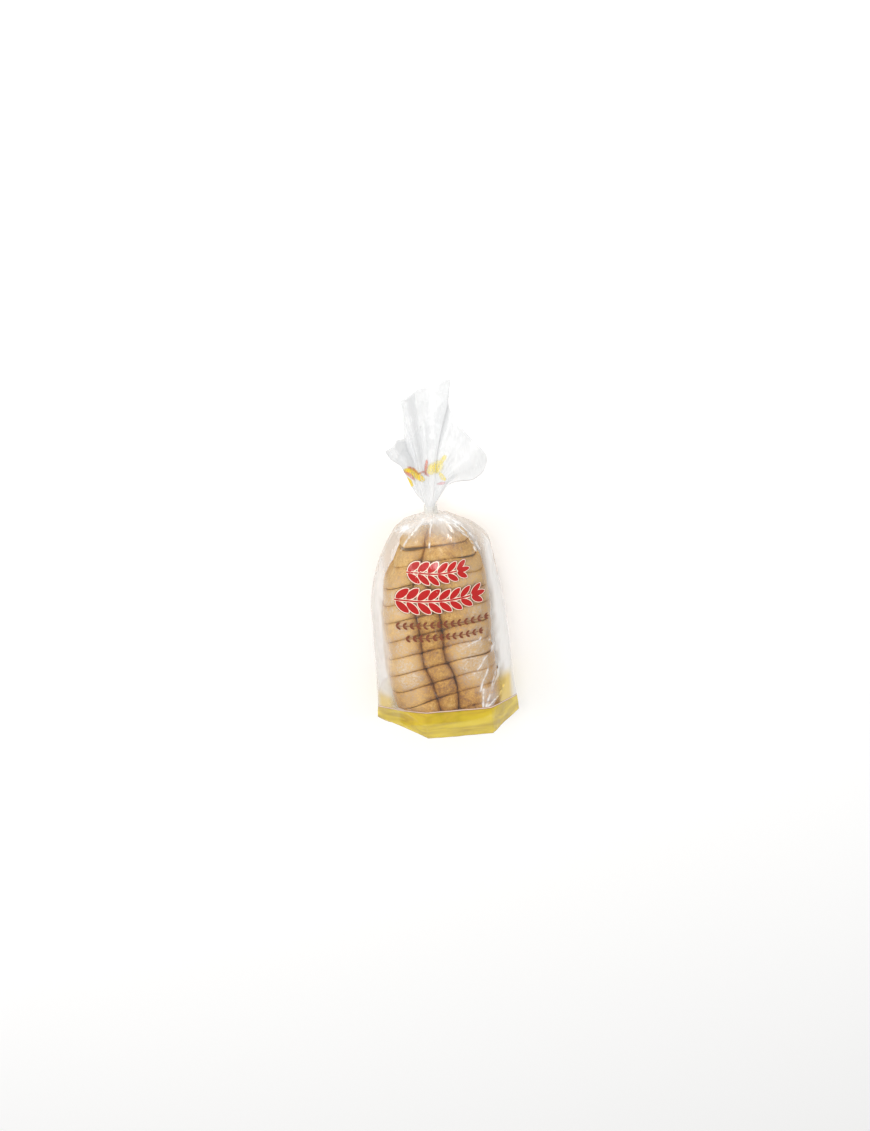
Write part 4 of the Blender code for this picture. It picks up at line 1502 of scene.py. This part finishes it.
# Printed strokes on the ruffle as (across, along, half width) in millimetres at the neck's
# height, seen from the camera
YELLOW_MARKS = (
    ((-23.4, 141.4, 2.2), (-16.4, 140.7, 3.8), (-9.8, 134.8, 4.4), (-3.2, 128.3, 2.2)),
    ((-22.0, 134.6, 1.8), (-18.1, 129.6, 3.2), (-15.5, 124.2, 2.2)),
)
PALE_MARKS = (
    ((0.0, 135.7, 3.4), (4.9, 140.5, 6.6), (9.2, 146.1, 4.4)),
    ((5.6, 135.8, 3.0), (9.8, 141.7, 6.4), (12.4, 149.2, 3.6)),
    ((12.4, 144.8, 1.5), (15.9, 149.5, 3.0), (18.6, 153.4, 1.5)),
    ((11.0, 136.7, 1.5), (13.7, 131.4, 3.0), (16.5, 127.5, 1.4)),
)
ROSE_MARKS = (
    ((0.5, 150.8, 0.8), (-1.0, 143.5, 2.0), (-2.7, 134.2, 1.2)),
    ((-10.5, 135.6, 0.7), (-4.3, 138.3, 1.5), (1.6, 132.5, 1.0)),
    ((-23.0, 141.3, 1.2), (-17.6, 136.9, 2.2), (-12.8, 130.1, 1.0)),
    ((-19.5, 145.1, 0.8), (-13.9, 142.2, 1.8), (-8.8, 136.4, 0.9)),
)
PINK_MARKS = (
    ((7.0, 125.0, 0.8), (12.3, 125.2, 2.0), (16.4, 126.4, 0.9)),
)
# The ruffle's print as (name, strokes, fresh colour, worn colour, cover, lift off the film)
RUFFLE_PRINT = (
    ("pale", PALE_MARKS, (250, 228, 96), (250, 236, 150), 0.46, 0.0002),
    ("yellow", YELLOW_MARKS, (250, 216, 20), (248, 220, 70), 0.72, 0.0003),
    ("rose", ROSE_MARKS, (222, 112, 84), (236, 156, 120), 0.40, 0.0004),
    ("pink", PINK_MARKS, (228, 176, 178), (236, 196, 196), 0.45, 0.0002),
)
MARK_ROWS = 31
MARK_COLUMNS = 11


def ink_marks(name, marks, ink, surface, lift):
    """Soft strokes of ink, laid on the ruffle as the camera sees it."""
    points, faces, fade = [], [], []
    for mark in marks:
        table = np.array(mark) / 1000
        place = np.linspace(0, 1, MARK_ROWS)
        known = np.linspace(0, 1, len(table))
        x, y, half = (through(np.stack([known, table[:, k]], 1), place) for k in range(3))
        run = np.stack([np.gradient(x), np.gradient(y)], -1)
        run = run / np.linalg.norm(run, axis=-1, keepdims=True)
        first = len(points)
        for k in range(MARK_ROWS):
            for across in np.linspace(-1, 1, MARK_COLUMNS):
                points.append((x[k] - run[k, 1] * half[k] * across,
                               y[k] + run[k, 0] * half[k] * across, 0.0))
                fade.append((1 - across ** 2) * (1 - (2 * place[k] - 1) ** 6))
        faces += grid_faces(MARK_ROWS, MARK_COLUMNS, first=first)
    mesh = bpy.data.meshes.new(name)
    mesh.from_pydata(points, [], faces)
    mesh.materials.append(ink)
    mesh.attributes.new("fade", "FLOAT", "POINT").data.foreach_set("value", fade)
    piece = laid_on(name, mesh, surface, lift, bpy.context.scene.camera.matrix_world.translation)


def make_loaf(crust, crumb):
    """The sliced loaf: two heels and the slices between them."""
    heel("heel_at_head", CUTS[0], LOAF_HEAD_Y, 1.8, 0.045, crust, crumb, seed=0)
    for index, (head_cut, foot_cut) in enumerate(zip(CUTS, CUTS[1:])):
        slice_of_bread(index + 1, foot_cut, head_cut, crust, crumb)
    heel("heel_at_foot", CUTS[-1], LOAF_FOOT_Y, 3.2, 0.040, crust, crumb, seed=20)


def make_bag(crinkles):
    """The film round the loaf, the ruffle above the tape, the tape and the print."""
    printed = film_material("printed_film", crinkles, crinkle=0.55, clear_cover=0.015,
                            tone=FILM_WHITE, gloss=FILM_GLOSS, inked=True)
    loose = film_material("loose_film", crinkles, crinkle=0.24, clear_cover=0.10,
                          tone=RUFFLE_WHITE, gloss=RUFFLE_GLOSS)
    front = film_panel("bag_front", True, rows=230, columns=241, cap_rows=26, material=printed)
    back = film_panel("bag_back", False, rows=150, columns=121, cap_rows=18, material=printed)
    ruffle = ruffle_sheet("bag_ruffle", rows=120, columns=190, material=loose)
    for piece in (front, back, ruffle):
        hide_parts("bag")
    clear = film_material("clear_tape", crinkles, crinkle=0.10, clear_cover=0.06,
                          tone=TAPE_WHITE, gloss=RUFFLE_GLOSS)
    tape = neck_tape("clear_tape", clear)
    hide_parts("neck_tape")
    print_sprigs(front, crinkles)
    for label, marks, colour, worn, cover, lift in RUFFLE_PRINT:
        ink = ink_material(f"{label}_ink", colour, worn, crinkles, cover)
        ink_marks(f"ruffle_{label}", marks, ink, ruffle, lift)


# The camera's tilt from straight above, its turn, and metres to a pixel at the loaf
CAMERA_TILT = math.radians(22)
CAMERA_TURN = math.radians(4.8)
METRES_PER_PIXEL = 0.954e-3
PICTURE_SIZE = (870, 1131)
AIM = Vector((0.0, 0.0, 0.085))
AIM_PIXEL = (440, 620)
LENS = 0.070
SENSOR = 0.036
LIT_PLACE = Vector((0, 0, 0.04))
SKY_STRENGTH = 0.52


def make_camera():
    """The camera at the photograph's angle."""
    back = Vector((0, math.sin(CAMERA_TILT), math.cos(CAMERA_TILT)))
    up = Vector((0, math.cos(CAMERA_TILT), -math.sin(CAMERA_TILT)))
    right = Vector((1, 0, 0))
    across = right * math.cos(CAMERA_TURN) - up * math.sin(CAMERA_TURN)
    upward = right * math.sin(CAMERA_TURN) + up * math.cos(CAMERA_TURN)
    off_x = (PICTURE_SIZE[0] / 2 - AIM_PIXEL[0]) * METRES_PER_PIXEL
    off_y = (AIM_PIXEL[1] - PICTURE_SIZE[1] / 2) * METRES_PER_PIXEL
    centre = AIM + to_frame() + across * off_x + upward * off_y
    distance = LENS * PICTURE_SIZE[1] * METRES_PER_PIXEL / SENSOR
    data = bpy.data.cameras.new("camera")
    data.lens = LENS * 1000
    data.sensor_width = SENSOR * 1000
    data.clip_start = 0.01
    camera = added("camera", data)
    turned = Matrix((across, upward, back)).transposed().to_4x4()
    camera.matrix_world = Matrix.Translation(centre + back * distance) @ turned
    bpy.context.scene.camera = camera


def soft_light(name, place, size, power, colour=(1.0, 1.0, 1.0)):
    """A softbox that faces the loaf."""
    data = bpy.data.lights.new(name, "AREA")
    data.shape = "RECTANGLE"
    data.size, data.size_y = size
    data.energy = power
    data.color = colour
    light = added(name, data)
    light.location = place
    facing = LIT_PLACE - light.location
    light.rotation_euler = facing.to_track_quat("-Z", "Y").to_euler()


def make_studio():
    """White floor, white surroundings and soft lights."""
    mesh = bpy.data.meshes.new("studio_floor")
    mesh.from_pydata([(-4, -4, 0), (4, -4, 0), (4, 4, 0), (-4, 4, 0)], [], [(0, 1, 2, 3)])
    floor = added("studio_floor", mesh)
    made, _, shader = material("white_floor")
    shader.inputs["Base Color"].default_value = (0.98, 0.98, 0.98, 1.0)
    shader.inputs["Roughness"].default_value = 0.9
    shader.inputs["Specular IOR Level"].default_value = 0.1
    mesh.materials.append(made)
    world = bpy.data.worlds.new("white_surroundings")
    world.use_nodes = True
    sky = world.node_tree.nodes["Background"]
    sky.inputs["Color"].default_value = (1.0, 1.0, 1.0, 1.0)
    sky.inputs["Strength"].default_value = SKY_STRENGTH
    bpy.context.scene.world = world
    soft_light("key_overhead", (-0.35, 0.65, 1.9), (0.55, 0.55), 21.0, (1.0, 0.99, 0.97))
    soft_light("strip_left", (-1.4, 0.2, 0.9), (0.2, 1.2), 5.0)
    soft_light("strip_right", (1.5, 0.1, 0.9), (0.2, 1.2), 5.0)
    bpy.context.scene.view_settings.view_transform = "Standard"


make_camera()
make_studio()
baked_grain = baked_grain_effect()
make_loaf(crust_material(baked_grain), crumb_material(baked_grain))
make_bag(film_effect())
